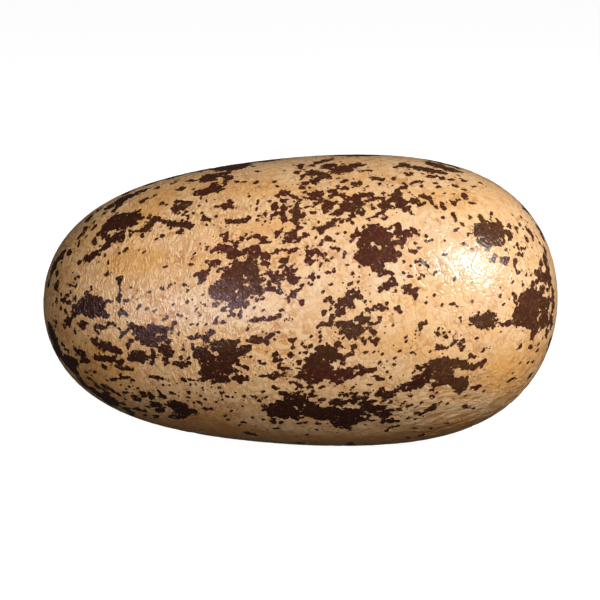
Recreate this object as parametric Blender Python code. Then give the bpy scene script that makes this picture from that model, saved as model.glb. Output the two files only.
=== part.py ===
"""A fossil theropod egg, lying on its side on the small flat that it rests on.

The egg is one solid stone. Its long axis runs along X, with the blunt end at +X, and that
end stands a little higher than the narrow one. The origin is on the surface that the egg
lies on, under the middle of its length and width, and +Z is up. Lengths are in metres.
"""

import math

import bmesh
import bpy
from mathutils import Matrix, Vector

# Driving dimensions of the egg
LENGTH = 0.160
MIDDLE_RADIUS = 0.0448
# The blunt half is this share thicker, and the narrow half thinner, towards its tip
BLUNTNESS = 0.110
# Both ends are this share fuller than an ellipse's
FULLNESS = 0.2615

# The lie: how far the blunt end is raised, and how deep the worn flat cuts into the curve
LEAN_DEG = 1.04
FLAT_DEPTH = 0.0011

# The shell is out of round by this share at most. Each wave has a direction, whose length
# sets how closely its crests follow each other, and a phase.
UNEVENNESS = 0.004
WAVES = (
    (Vector((4.1, 2.3, 1.2)), 0.4),
    (Vector((-2.2, 3.9, 3.1)), 2.1),
    (Vector((1.7, -3.3, 5.2)), 4.4),
)

# Facets: meridians round the long axis, and rings from tip to tip
MERIDIANS = 72
RINGS = 44

CREAM = (0.72, 0.50, 0.26, 1.0)
VARNISH_ROUGHNESS = 0.32


def clear_scene():
    """Removes whatever the scene holds."""
    for found in list(bpy.data.objects):
        bpy.data.objects.remove(found, do_unlink=True)


def make_collection(name):
    """Returns a new collection, linked into the scene."""
    collection = bpy.data.collections.new(name)
    bpy.context.scene.collection.children.link(collection)
    return collection


def make_shell_material():
    """The varnished cream of the shell, as one plain colour."""
    material = bpy.data.materials.new("speckled_shell")
    material.use_nodes = True
    shader = material.node_tree.nodes["Principled BSDF"]
    shader.inputs["Base Color"].default_value = CREAM
    shader.inputs["Roughness"].default_value = VARNISH_ROUGHNESS
    shader.inputs["Metallic"].default_value = 0.0
    return material


def swell(unit):
    """The share by which the shell stands out, or sinks in, along a direction from its middle."""
    waves = [math.sin(direction.dot(unit) + phase) for direction, phase in WAVES]
    return UNEVENNESS * sum(waves) / len(waves)


def shell_point(unit):
    """Carries a point of the unit sphere, whose poles are on Z, to the egg along X.

    At a share t of the way from the middle to a tip, the radius is that of an ellipse,
    times one plus BLUNTNESS times t plus FULLNESS times t squared.
    """
    t = unit.z
    thickness = MIDDLE_RADIUS * (1 + BLUNTNESS * t + FULLNESS * t * t)
    point = Vector((LENGTH / 2 * t, thickness * unit.x, thickness * unit.y))
    return point * (1 + swell(unit))


def lay_down(shape):
    """Leans the egg, cuts the flat that it rests on, and sets that flat down on the origin's plane."""
    bmesh.ops.rotate(
        shape,
        cent=(0, 0, 0),
        matrix=Matrix.Rotation(math.radians(-LEAN_DEG), 3, "Y"),
        verts=shape.verts,
    )
    flat_height = min(v.co.z for v in shape.verts) + FLAT_DEPTH
    cut = bmesh.ops.bisect_plane(
        shape,
        geom=shape.verts[:] + shape.edges[:] + shape.faces[:],
        plane_co=(0, 0, flat_height),
        plane_no=(0, 0, 1),
        clear_inner=True,
    )
    rim = [item for item in cut["geom_cut"] if isinstance(item, bmesh.types.BMEdge)]
    bmesh.ops.edgeloop_fill(shape, edges=rim)
    across = [v.co.x for v in shape.verts]
    deep = [v.co.y for v in shape.verts]
    middle = Vector(((min(across) + max(across)) / 2, (min(deep) + max(deep)) / 2, flat_height))
    bmesh.ops.translate(shape, verts=shape.verts, vec=-middle)


def build_egg(collection, material):
    """The whole egg, one closed solid."""
    shape = bmesh.new()
    bmesh.ops.create_uvsphere(shape, u_segments=MERIDIANS, v_segments=RINGS, radius=1.0)
    for vertex in shape.verts:
        vertex.co = shell_point(vertex.co)
    lay_down(shape)
    bmesh.ops.recalc_face_normals(shape, faces=shape.faces)
    mesh = bpy.data.meshes.new("egg")
    shape.to_mesh(mesh)
    shape.free()
    mesh.materials.append(material)
    mesh.shade_smooth()
    mesh.set_sharp_from_angle(angle=math.radians(30))
    egg = bpy.data.objects.new("egg", mesh)
    collection.objects.link(egg)
    return egg


def main():
    """Builds the egg in a collection of its own."""
    clear_scene()
    collection = make_collection("fossil_theropod_egg")
    build_egg(collection, make_shell_material())


main()
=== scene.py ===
"""A fossil theropod egg in its finish: a cream and ochre shell, blotched with chocolate, varnished.

The egg lies along X on its small worn flat, blunt end at +X. Its shell is one closed surface
with low winding wrinkles. The paint follows attributes of the mesh: how far each point lies
from the edge of the nearest blotch, which pigment that blotch has, and how thickly fine specks
are strewn there. Blotches on the side that the photo shows are placed by its pixels, and the
far side has others of the same kinds. Lengths are in metres unless a name says otherwise.
"""

import itertools
import logging
import math
from dataclasses import dataclass
from enum import Enum

import bpy
import numpy as np
from mathutils import Matrix, Vector


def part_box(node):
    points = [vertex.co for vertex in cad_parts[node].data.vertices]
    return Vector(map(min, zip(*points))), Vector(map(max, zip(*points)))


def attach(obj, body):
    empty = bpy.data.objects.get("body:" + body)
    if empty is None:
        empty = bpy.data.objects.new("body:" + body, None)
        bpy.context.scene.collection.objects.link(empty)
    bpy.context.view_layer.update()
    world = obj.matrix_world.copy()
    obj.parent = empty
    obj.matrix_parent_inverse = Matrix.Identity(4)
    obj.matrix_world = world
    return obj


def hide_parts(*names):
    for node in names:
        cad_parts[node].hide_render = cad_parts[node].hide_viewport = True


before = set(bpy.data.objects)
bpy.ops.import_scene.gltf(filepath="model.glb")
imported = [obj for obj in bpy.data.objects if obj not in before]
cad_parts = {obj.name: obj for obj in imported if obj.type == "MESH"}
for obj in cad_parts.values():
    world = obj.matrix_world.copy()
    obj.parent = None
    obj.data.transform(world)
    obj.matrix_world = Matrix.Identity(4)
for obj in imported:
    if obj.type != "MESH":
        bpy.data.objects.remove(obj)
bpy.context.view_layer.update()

LOG = logging.getLogger("fossil_egg")
MM = 0.001


class Pigment(Enum):
    """A blotch's paint, as a place on the ramp from olive through chocolate to maroon."""

    OLIVE = 0.0
    UMBER = 0.25
    CHOCOLATE = 0.5
    RUSSET = 0.75
    MAROON = 1.0


@dataclass(frozen=True)
class Blotch:
    """A painted blotch, or a scatter of small ones, on the side that the photo shows.

    Each lobe is an oval in the photo's 600 by 600 pixels: its middle across and down, its half
    length, its half width, and how steeply its length climbs to the right, in degrees. The
    depth, from 0 to 1, is painted shade: it darkens the paint most on the shaded left end and
    along the bottom, and least on the lit right side.
    """

    name: str
    pigment: Pigment
    lobes: tuple[tuple[float, ...], ...]
    # Painted shade: how far the paint is darkened, most where the blotch lies in shade
    depth: float = 0.35


BLOTCHES = (
    Blotch("shoulder_left", Pigment.CHOCOLATE, (
        (121, 221.5, 17.5, 8.6, 12), (133, 217, 8, 5.2, 25), (108, 227, 8, 6, 38),
        (102.5, 234, 6, 4.4, 20), (94.5, 242.5, 3.2, 3, 40), (112, 240, 8, 3.8, 15),
        (117, 236, 4.5, 3, 0), (122, 235.5, 6.5, 3, 80), (106, 246, 5, 3, 20),
        (139, 211, 2.5, 1, 45), (92.5, 256, 11, 2.7, 34), (87, 259, 5, 3, 40),
        (79.5, 262, 2.3, 1.8, 0), (94, 227.5, 3.4, 1.5, 40), (94, 222, 2.4, 1, 35),
    ), depth=0.85),
    Blotch("shoulder_chain", Pigment.UMBER, (
        (140, 231, 11, 1.1, 2), (148, 226, 7.5, 3, 35), (155, 219, 6, 2.1, 25),
        (149, 216, 4, 1.4, 35), (164, 221, 5, 1.5, -5), (172, 223, 7, 3.2, -5),
        (185, 225, 8, 3.5, -8), (180.5, 231, 4.5, 1.8, 25), (193, 225, 3.4, 1.3, 20),
        (190, 229, 1.8, 1.2, 0), (170, 228, 1.5, 1.2, 0), (163, 235, 3, 2.1, 15),
        (142.5, 237, 3.2, 1.9, 10), (130.5, 235.5, 1.8, 1, 35), (156, 239, 1, 1, 0),
        (140.5, 217.5, 2.5, 1.3, 10), (125.5, 250.5, 3.8, 1.8, 20), (119, 252.5, 2.1, 1.2, 10),
        (145, 251.5, 1.4, 1, 0),
    ), depth=0.6),
    Blotch("limb_top_left", Pigment.CHOCOLATE, (
        (122.5, 199.5, 11, 2.8, 28), (109, 207, 6, 1.8, 30), (113.5, 211, 3.6, 1.2, 25),
        (118, 206.5, 4, 1.4, 28), (137, 193, 9, 1.4, 25), (146, 190, 3, 1, 25),
        (89, 218, 6, 1.4, 48), (85, 228, 3, 1.4, 50), (82, 234, 4.2, 1.9, 48), (79, 238, 2, 1, 50),
        (86, 237, 3, .9, 50), (78.5, 244, 3.2, 1, 65), (68.5, 253, 4.2, 2.2, 60),
        (61, 256, 8, 2.3, 56), (55, 265, 5, 2, 68), (52, 271, 8, 1.4, 72), (57, 273, 4.5, 1.2, 85),
        (49, 283, 4, 1, 78), (99, 210, 4, .9, 38), (104, 214, 3, .8, 32),
    ), depth=0.8),
    Blotch("top_left_marks", Pigment.UMBER, (
        (142, 201.5, 2.6, 1.6, 10), (146.5, 198.5, 2.2, 1.2, 20), (155, 195.5, 2.5, 1.1, 25),
        (161.5, 203.5, 3, 1.6, 30), (166, 205, 1, .8, 0), (181, 189, 4.2, 1.8, 18),
        (171, 184, 1.3, 1, 0), (176.5, 182, 1.3, .9, 0), (157, 188, 2.6, .9, 20),
        (177.5, 201.5, 4.8, 1.5, 8), (182.5, 206, 11, 3.7, 22), (176, 209.5, 4, 2.4, 15),
        (178, 213.5, 4, 1.5, 0), (185, 215, 3.6, 1.3, -15), (206, 201, 2, 1.8, 0),
        (203, 213.5, 2.2, 1.8, 0), (216, 216.5, 2, 1.1, 0), (206, 219, 5, 2.4, 0),
        (207, 225.5, 1.7, 1.3, 0), (188, 219, 1.3, .8, 0), (199, 205, 1.3, .8, 0),
        (200, 198.5, 1.3, .8, 10), (194, 213.5, 1, .7, 0), (193, 189.5, 2.6, 1, 8),
    ), depth=0.55),
    Blotch("crown_left", Pigment.CHOCOLATE, (
        (210, 177, 12, 3.7, 12), (193, 180.5, 6, 1.3, 3), (224, 173, 8, 1.8, 8),
        (213.5, 183.5, 4, 1.7, 10), (212, 189, 10, 3.9, 6), (203, 192.5, 6, 3.4, -5),
        (196, 194, 3, 1.7, 0), (216, 188.5, 6.5, 4.2, -5), (228, 177.5, 5.5, 2.8, -5),
        (225.5, 182, 2.3, 2.8, 0), (237, 181, 3, 1.2, -5), (230, 166.5, 22, 2.5, 7),
        (243, 182, 3.2, 1.1, 5), (256, 182, 3.2, 1.6, 15), (257, 171.5, 2.5, .9, 0),
        (274, 181.5, 1.9, 1.1, 5), (277, 186, 1.2, .9, 0),
    ), depth=0.6),
    Blotch("upper_middle_left", Pigment.CHOCOLATE, (
        (225, 206.5, 3.4, 3.3, 20), (217.5, 206.5, 4, 1.2, 10), (230, 204, 4.4, 1.3, 12),
        (230, 200, 1.4, 1.4, 0), (232, 208.5, .9, .8, 0), (236, 221.5, 8, 2.7, 2),
        (229, 221, 3.5, 1.1, 0), (244, 221.5, 4, 1.6, 5), (248.5, 218, 3, 1.6, 65),
        (259, 217, 5, 1, 8), (264.5, 214.5, 1.7, 1.6, 0), (257.5, 209, 1.9, 1.3, 25),
        (257, 204.5, 1, .8, 0), (257.5, 201, 1.5, .9, 20), (270, 200.5, 1.8, .8, 10),
        (250, 197, 1.2, .8, 0), (265.5, 221, 1, .8, 0), (257, 220, .9, .7, 0),
        (241.5, 238.5, 2.6, 1.9, 10), (230, 235, 4, .9, -5), (222, 235, 1.6, .8, 0),
        (227, 233, 1, .8, 0), (236.5, 243, 2.2, 1.4, -25), (249, 240, 2, 1, 10),
        (247, 235, 1.2, .8, 0), (256, 236.5, 4, 1.9, 0), (264, 238, 4.2, 1.7, 0),
        (263, 243, 3, 1, 5), (271, 242, 2, 1.1, 20), (276, 232, 3.8, 1.2, 10),
        (277.5, 232.5, 1.8, 1.6, 0), (283, 228, 1.6, .8, 30), (277.5, 237.5, 1, .7, 0),
    )),
    Blotch("upper_middle", Pigment.RUSSET, (
        (284.5, 193, 5.6, 3.7, 5), (277, 197, 3, 1, -25), (294, 197, 4.6, 1.9, -15),
        (284, 200.5, 4, 1.6, 10), (274.5, 207, 4, 4, 0), (283.5, 208, 2.6, 3.6, 0),
        (284, 219.5, 4, 3.2, 0), (283.5, 214, 4.4, 1.5, 10), (276, 214.5, 4, .9, 12),
        (290, 206, 2, .8, 0), (272, 219, .9, 1.2, 0), (290, 212, 4, 1.1, -15),
    )),
    Blotch("upper_middle_olive", Pigment.OLIVE, (
        (296.5, 215.5, 5.6, 6.2, 0), (296, 206.5, 3.6, 2.4, 65), (302, 216, 3.6, 2, 12),
        (296, 223.5, 3.4, 1.5, -10), (306, 223, 3.2, 1, 35), (299.5, 201, 3.6, .9, 25),
    )),
    Blotch("centre_chips", Pigment.RUSSET, (
        (289, 236, 5.6, 5, 0), (284.5, 243, 2.6, 1.6, 55), (295, 231, 3.2, 1.3, 30),
        (299, 228, 3.6, 1, 20), (297, 240.5, 3.4, 2, 10), (303.5, 236.5, 5.6, 1.5, 18),
        (277, 251, 3.8, 2.5, 30), (285, 251, 2.2, .8, 15), (295, 249.5, 4, 2.3, 25),
        (290, 253, 3, 1, 20), (313, 251.5, 7.2, 2.7, 5), (321, 254, 4.6, 2.1, -20),
        (307.5, 246, 1.5, 1.5, 0), (334, 248, 3.6, 1.5, -10), (338, 250, 2, 1.4, 70),
        (325, 240.5, 4, 1, 5), (321, 243.5, 2, .8, 20), (331, 240, 2.5, .9, 40),
        (326, 237, 2.5, 1, 25), (316.5, 237, 1.3, .8, 0), (323, 232, 3, 1, 15),
        (336.5, 219.5, 4, 1.2, 8), (341, 221.5, 2.6, 1, 0), (314, 228.5, 2.7, 1.6, 15),
        (319, 222, 1.3, 1.2, 0), (346, 232, 1.6, .7, 0), (348, 219.5, 2, .8, 20),
        (352, 222.5, 2.1, 1.6, 0), (352, 236.5, 1.3, 1, 0), (352, 242, 2.2, 1.2, 0),
    )),
    Blotch("spindle", Pigment.UMBER, ((328, 226, 9.2, 2.9, 22), (333, 223.5, 4.5, 2, 20))),
    Blotch("crown_middle", Pigment.CHOCOLATE, (
        (300, 165.5, 4.6, 1.4, 5), (301, 168, 2.2, 1, 0), (298, 172.5, 4, 1.8, -5),
        (301, 179, 2, .9, 15), (323, 161.5, 12, 1.5, 13), (312, 165, 4, 1.3, 15),
        (329, 166, 8, 2.8, 10), (355, 165, 6, 2.8, 15), (363, 165, 4, 1.2, 5),
        (311, 173, 5.5, 3, 15), (304, 175, 4, 1.4, 15), (314.5, 181, 5, 3.1, 0),
        (305, 183, 4, 1.8, 10), (302, 188.5, 3.3, 1.4, -3), (344, 181, 4.6, 1.3, 15),
        (338, 178, 1.6, .8, 0), (345, 188, 3.8, 1.7, -5), (356.5, 184, 5.6, 3, 5),
        (367, 186.5, 1.4, .9, 0), (375, 178.5, 5.5, 2, -5), (383, 179.5, 3, 1.2, 40),
        (365, 171, 7.8, .9, 3), (380, 183, 1.3, 1.2, 0), (338, 187, 2, .9, -30),
    )),
    Blotch("crown_russet", Pigment.RUSSET, ((339.5, 170, 9.4, 4.1, 0), (348, 169, 5, 3, -5))),
    Blotch("crown_olive", Pigment.OLIVE, ((322, 174.5, 9, 3.2, -7), (327, 177, 4, 2.2, -10))),
    Blotch("belt", Pigment.CHOCOLATE, (
        (306, 193, 3, 2, 0), (319, 194, 5.4, 3.4, -12), (312, 194, 3, 1.3, 30),
        (330, 190.5, 4.6, 1.4, 5), (336, 194.5, 6.5, 2.8, 0), (343, 196, 4, 2, -12),
        (357, 196.5, 6, 2.8, 10), (368, 194.5, 7.2, 2.6, 3), (384, 193.5, 2.2, 1, 0),
        (380, 198.5, 6, 1.1, 6), (312, 198.5, 7, 1.5, -5), (322, 200, 5, 2.4, -20),
        (327, 205, 5, 3.8, 0), (335, 203, 4, 2, 20), (325, 209.5, 4, 3.6, 0),
        (318, 203, 5, 1, -10), (344, 210, 8, 2.5, 5), (336, 213.5, 5.4, 3, 0),
        (314, 213, 3.5, 1.5, 0), (353, 215.5, 3.8, 1.7, -10), (372.5, 207.5, 3.6, 1.6, -52),
        (386, 204, 6, 3.4, 0), (382, 212, 6, 1.8, 18), (375, 216.5, 3.4, 1, 0),
        (385, 217.5, 2.7, 2, 25), (367, 218.5, 2, 1.1, -20), (306, 207, 2, .9, 0),
        (313, 206, 3, .9, -15), (372, 200, 6, 1.2, 10), (303, 216, 3, 1, 20),
        (350, 199, 3, 1.2, 30),
    )),
    Blotch("belt_russet", Pigment.RUSSET, ((345.5, 205, 5, 3.8, 0), (330, 206, 2, 3, 0))),
    Blotch("belt_olive", Pigment.OLIVE, (
        (358, 204.5, 6.8, 4.6, 18), (354, 208, 5, 2, 10), (361, 212.5, 5, 2.5, 0),
    )),
    Blotch("peak", Pigment.UMBER, (
        (397, 196.5, 6, 6, 0), (397, 191.5, 3, 2.6, 0), (402, 202.5, 7, 5.8, 0),
        (388, 207.5, 7, 2.8, 8), (385, 203.5, 5.5, 3.4, 0), (392, 200, 4, 1.8, 20),
        (405, 208.5, 4, 3, 0), (411, 212.5, 3, .9, -55), (414, 201, 4.6, 3.4, 0),
        (421, 204.5, 4, 1.6, 12), (427, 197.5, 5, 2.6, -20), (433, 204, 5, 1.5, -52),
        (422, 194.5, 2, .8, 10),
    )),
    Blotch("upper_right_marks", Pigment.CHOCOLATE, (
        (443, 206, 5, 2.5, -66), (453.5, 203, 4, 2.1, -14), (457.5, 200.5, 2.2, 1.2, 15),
        (454.5, 216.5, 5.6, 2.2, -55), (443, 218, 2.8, 1.3, 0), (463, 225, 2.1, 1.2, -65),
        (456, 230, 3, 1.2, 35), (470, 217.5, 3.4, 1.1, -25), (467, 235, 1.4, 1.1, 0),
        (445, 240, 2.1, .8, 15), (432, 240, 1.1, .8, 0), (426, 242.5, 2, 1.2, 0),
        (464, 244, 3.5, 1.9, -10), (472, 250, 1.6, 1, -30), (464, 195, 4, 1.7, -6),
        (466, 198.5, 2, 1, 0), (472, 203, 5, .9, -10), (474.5, 186.5, 2.6, 1, 5),
        (455, 186, 4, 1.2, -25), (465, 181, 2.6, 1.2, -12), (461, 179, 3, .8, -20),
        (451, 179.5, 3, .9, -5), (432, 176.5, 6.4, 1.5, -3), (442, 178.5, 4, 1.6, -6),
        (444, 173, 4, 1.2, -12), (396, 167, 3, 1, 5), (409, 175, 2.6, 1.2, -5),
        (412, 173, 1.9, .9, 0), (405, 173.5, 1.6, 1, 10), (423, 173.5, 1.9, 1, -20),
        (395, 177, 2.6, .9, 5), (419, 182, 4.1, 1.5, 3), (422, 186, 2.3, 1.3, 0),
        (436, 183.5, 2.3, .9, -12), (438.5, 187, 2.5, 1.1, 12), (404, 187.5, 3.6, 1.8, 5),
        (411, 184, 1.9, .9, 0), (444, 193.5, 1.1, .8, 0), (433, 193.5, 1.3, .8, 0),
        (454, 194, 1.6, .7, -10), (408, 192, 1.2, .9, 0), (463, 189.5, 3, .7, -5),
        (490.5, 213, 2, .9, 70), (498, 221, 2, .9, -40), (404, 183, 1.5, .8, 0),
        (480, 183, 3, .7, -20), (458, 175.5, 2.4, .7, -20),
    )),
    Blotch("limb_top_right", Pigment.UMBER, (
        (405, 165, 6, 2.2, -5), (420, 168, 12, 2.2, -8), (432, 170.5, 12, 2.2, -10),
        (442, 167, 14, 2.0, -16), (455, 170, 8, 1.2, -20), (434, 164, 10, 1.6, -12),
    )),
    Blotch("upper_right", Pigment.OLIVE, (
        (480.5, 217.5, 4, 2.2, -58), (484, 229.5, 10, 9, 10), (479, 234, 5, 5, 0),
        (491, 240, 6, 4.6, -12), (497, 243.5, 4, 2.4, 5), (480, 242, 3, 2.4, -40),
        (486.5, 246, 6, 2.6, -72), (499, 226, 5.4, 3.2, -22), (508, 233.5, 6, 2.2, -32),
        (492, 227, 7, 6, 0), (497, 235, 8, 6, 0),
    ), depth=0.1),
    Blotch("upper_right_russet", Pigment.RUSSET, ((503, 241.8, 6, 1.8, 5), (510, 236, 3.4, 1.6, -20))),
    Blotch("limb_right_marks", Pigment.CHOCOLATE, (
        (509.5, 226, 2.5, 2.1, -60), (516, 228, 2.8, 1.2, -42), (520, 225, 2.8, 1.1, -52),
        (530, 232, 4.6, 1.9, -55), (526, 229, 2.2, 1, -50), (527, 238.5, 3.2, 1.7, -50),
        (534, 239.5, 1.6, .8, -50), (514, 247, 1.9, 1.8, 0), (517, 243.5, 1.9, .9, -20),
        (523.5, 248, 2.3, 1.8, 20), (505, 250.5, 3.6, 1.5, -6), (520.5, 254.5, 5, 1.9, -18),
        (504, 261, 4.9, 3.1, -42), (515, 260.5, 2.7, 2.2, -60), (510, 259, 1.3, 1, 0),
        (515.5, 269, 5.2, 1.2, -62), (518, 272.5, 2.2, 1.7, -60), (527, 274, 1.6, 1.1, -60),
        (531, 274.5, 2.1, 1.2, -60), (535, 271, 2.2, .8, -65), (514, 283, 1.4, 1.2, 0),
        (522, 285, 2.2, 1.5, -60), (514.5, 295, 3.8, 1.5, -50), (514.5, 300.5, 2, 1.7, 0),
        (517.5, 303.5, 2.3, 1.5, -60), (495, 256, 2.7, 1.2, -62), (493, 260, 2.8, 2.4, 0),
        (504, 304.5, 2.1, 1.2, 10), (499.5, 297, 1.9, 1.1, -50), (522, 218, 1.6, .7, -50),
        (527, 222, 1.8, .7, -55), (536, 236, 2, .7, -60), (540, 244, 3, .8, -66),
        (545, 250, 5, 1, -70), (538, 228, 4, .8, -58), (543, 238, 5, .9, -64),
    )),
    Blotch("right_limb", Pigment.UMBER, (
        (546, 262, 10, 2, -76), (541, 263, 5, 1.6, -80), (549, 278, 12, 2.4, -82),
        (543, 277, 7, 4, -75), (546, 300, 12, 5, -88), (553, 300, 14, 1.4, -88),
        (543, 318, 12, 6, 88), (551, 322, 10, 1.6, 84), (547, 333, 6, 1.4, 80),
        (550, 343, 8, 1, 76),
    )),
    Blotch("right_umber", Pigment.UMBER, (
        (536, 283, 7, 4, 55), (531, 300, 12, 8, 75), (527, 313, 11, 9, 30), (534, 317, 12, 9, 88),
        (519, 314, 5, 3.6, 80), (534.5, 331, 5, 3.6, 60), (525, 324, 8, 3.6, -5),
        (538, 272, 3.5, 2, 60), (505, 323.5, 12, 2.3, 6), (514, 321.5, 5, 2.9, 10),
    )),
    Blotch("paddle", Pigment.OLIVE, (
        (483, 321.5, 13, 7.3, 4), (490, 317, 6, 5, 0), (477, 321, 7, 6, 0),
    )),
    Blotch("middle_right_marks", Pigment.CHOCOLATE, (
        (391.5, 227, 2.3, 1.9, 50), (397.5, 226, 2.9, 2.7, 0), (398.5, 232.5, 4.6, 3.9, 20),
        (391, 236.5, 2, 1.4, 70), (404, 236, 2, 1.4, 0), (413.5, 230.5, 3.9, 3.1, 0),
        (409.5, 235, 2.6, 1.8, 70), (406, 232, 2, 1.8, 0), (419.5, 235.5, 1.9, 1.4, 0),
        (402, 242, 5.6, 2.7, 5), (394, 243.5, 4, 1.5, 0), (415, 243, 1.3, 1.2, 0),
        (419, 248.5, 2, 1, 10), (403, 248, 1.3, 1, 0), (413, 251.5, 4.2, 2.2, -15),
        (403, 261, 1.7, 1, 0), (416, 262.5, 1.1, .9, 0), (423, 262.5, 4.1, 1.8, -36),
        (429, 267.5, 1.1, 1, 0), (433, 273, 3.5, 1.9, 6), (424, 275.5, 2.4, 1.2, -42),
        (418, 278.5, 2.1, 1.1, -15), (410, 276, 4, 1.6, 0), (390.5, 273, 4.1, 2.5, -5),
        (391, 281, 4.2, 3, 60), (388, 287, 4.6, 2, 30), (396, 284, 3.6, 1.2, -10),
        (386, 283.5, 3, 1, 0), (405, 286, 3.3, 2.1, 0), (411, 286, 1.1, 1, 0),
        (407, 292, 3, 2.2, 0), (414.5, 295, 4.1, 2.6, -68), (417, 289, 2.9, 1.1, 6),
        (434, 294.5, 1.7, 1.1, 0), (426.5, 301.5, 1.6, 1, 0), (394.5, 292, 1.1, .8, 0),
        (442.5, 305.5, 1.3, .8, 20), (396.5, 308, 4, 2.3, 35), (399.5, 312.5, 2.5, 1.6, 0),
        (454.5, 305, 5, 1.9, -28), (454, 280, 2, 1.4, 70), (472.5, 302.5, 1.2, 1, 0),
        (460, 318.5, 1.2, 1, 0), (422.5, 323.5, 5.1, 2.1, 30), (420, 329.5, 1.3, .9, 0),
        (444.5, 255, 3, 1.2, 5), (394, 326.5, 1.1, .8, 20), (405.5, 341, 1.2, .8, 0),
        (406, 338, 1, .7, 20),
    )),
    Blotch("centre_right", Pigment.CHOCOLATE, (
        (372, 233, 11, 7.5, 8), (372, 227.5, 5.4, 3.4, 0), (378, 243, 11, 9, 0),
        (383, 234, 5, 6, 30), (390, 246, 6, 5, -20), (356, 232, 4.8, 2.8, 70),
        (372, 257, 15, 10, 0), (363, 258, 7, 7, 0), (393, 255, 8, 4.2, 12),
        (391, 259.5, 7, 3.2, 8), (376, 266, 9, 4.6, -15), (378.5, 272.5, 6.4, 1.4, -62),
        (383.5, 270, 3.6, 1.6, -50), (361, 248, 4, 3, 60), (377, 239, 14, 9, 0),
        (367, 243, 10, 8, 20), (385, 248, 12, 9, 0),
    )),
    Blotch("middle_marks", Pigment.CHOCOLATE, (
        (284, 261, 4.6, 2.8, 0), (282, 266, 1.9, 1, 20), (292, 265, 1.5, 1.2, 0),
        (296, 270.5, 3.3, 2.1, 10), (287, 272, 4.8, 4.4, 60), (292, 278, 5, 3.8, -20),
        (297, 278.5, 4, 1.2, 20), (293, 283, 3.5, 1.9, 0), (302, 285, 2.1, 1, 25),
        (310.5, 285.5, 1.9, 1.2, 15), (311.5, 277, 3.7, 2.3, 5), (314, 272.5, 1.6, .8, 15),
        (298, 290.5, 2.7, 1.2, -5), (282, 293.5, 1.7, 1.1, -5), (288, 299.5, 3.5, 1.5, -72),
        (292, 293, 2.6, 1.3, -60), (295, 295.5, 2.2, 1.2, 50), (301.5, 302, 3.5, 2.8, 0),
        (282, 309.5, 2.1, 1, 10), (286, 319.5, 2.3, 1.2, -8), (328, 272.5, 3, 1.2, -10),
        (334, 270.5, 3, 1.6, 80), (331.5, 285, 1.5, 1, 0), (322, 292, 2.4, 1.1, 10),
        (309, 259.5, 2.1, 1.6, 0), (310, 264, 3.1, 1.5, 0), (306, 262, 1.3, 1, 60),
        (314, 261.5, 1.1, 1, 0), (321, 265, 3.3, 1, 50), (332, 257, 2, .8, 10),
        (345, 253, 1.9, 1.7, 0), (344, 258, 1.1, .9, 0), (348, 264, 2.5, 2.1, 0),
        (353, 273.5, 2.9, 1.2, 0), (350, 283, 2.1, 1.3, 20), (358, 281, 1.8, 1.3, 30),
        (326, 260.5, 1, .8, 0), (260.5, 297, 2.7, 1.8, -30), (255.5, 308, 1.5, 1.2, 60),
        (257, 301.5, 1.3, .9, 0), (264, 310.5, 1.3, 1, 0), (242, 313.5, 2.5, 1.2, 72),
        (234.5, 314.5, 2, 1, -65), (229.5, 315, 1.6, 1, 0), (240, 318.5, 1, .8, 0),
    )),
    Blotch("left_of_centre_crown", Pigment.RUSSET, (
        (226, 238.5, 3.6, 3.6, 0), (227, 247, 8, 4, 0), (218, 248, 4.4, 1.5, 10),
        (212, 251.5, 4, 1, 5), (233, 253.5, 9, 5, 0), (254, 248, 7.6, 2.9, 5),
        (245, 251, 5, 1.9, 12), (215, 263, 5.6, 3.8, 0), (208, 262, 2.2, 1.5, 0),
        (251, 257, 7, 2.8, 20), (258, 254, 4, 2.1, 10), (266, 256, 6, 2.7, 26),
        (263, 262, 2.2, 1.9, 0), (268, 265, 3.6, 2.5, -70), (270.5, 272, 5, 1.2, 15),
        (220, 269, 3, 2, 30),
    )),
    Blotch("left_of_centre", Pigment.CHOCOLATE, (
        (236, 272, 14, 10, 30), (228, 284, 13, 11, 25), (219, 292, 8, 6, 80),
        (246, 286, 13, 9.5, 0), (258, 285, 8, 6, 50), (257, 291.5, 9, 3.6, -6),
        (233, 298, 14, 8, -10), (241, 303, 7, 5.2, 0), (212, 290, 4, 3, 75),
        (214.5, 297, 4, 2.9, 0), (215.5, 305, 3, 2.3, 0), (223.5, 310, 3.4, 2.2, 0),
        (231, 309, 3, 2.3, 0), (203, 276.5, 5.4, 4.3, 78), (195, 276, 1.9, 1.7, 0),
        (209, 269, 2, 1.4, 60),
    ), depth=0.2),
    Blotch("left_of_centre_olive", Pigment.OLIVE, (
        (246, 268, 13, 8, 8), (255, 276, 6, 7, 0), (238, 264, 6, 4, 10),
    )),
    Blotch("left_of_centre_tail", Pigment.CHOCOLATE, (
        (275, 279, 6.6, 5.6, 0), (270, 288, 5, 3.4, 10), (276, 291, 3.6, 2, 10),
        (282, 277, 3, 1.5, 30), (279, 285, 3, 1.2, 60),
    )),
    Blotch("dashes", Pigment.CHOCOLATE, (
        (262, 319.5, 11, 1.9, 3), (254, 320, 4, 2.5, 0), (276, 317, 5.2, 1.1, 15),
        (278.5, 316, 2.6, 1.4, 15), (276, 333.5, 6.4, 1.5, 8), (269, 336.5, 5, 1.1, 18),
        (255, 340, 7.6, 3.9, 5), (265, 341, 4, 2.4, 0), (267, 344.5, 2, 1, 0),
        (223, 323.5, 3.1, 1.1, 0), (247, 328.5, 1.5, 1.2, 60), (213.5, 323, 1.1, 1, 0),
        (291.5, 341, 3.2, 1.9, -28), (294, 339.5, 2.7, .9, 32), (294, 347.5, 2, 1.6, 0),
        (308.5, 346.5, 3.9, 2.4, 16), (303, 344.5, 1.1, .8, 0), (206, 305, 2.8, 2, -20),
        (197, 308.5, 1.3, 1, 50), (188, 302.5, 1.9, 1.2, -25),
    )),
    Blotch("under_sheen", Pigment.CHOCOLATE, (
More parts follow.
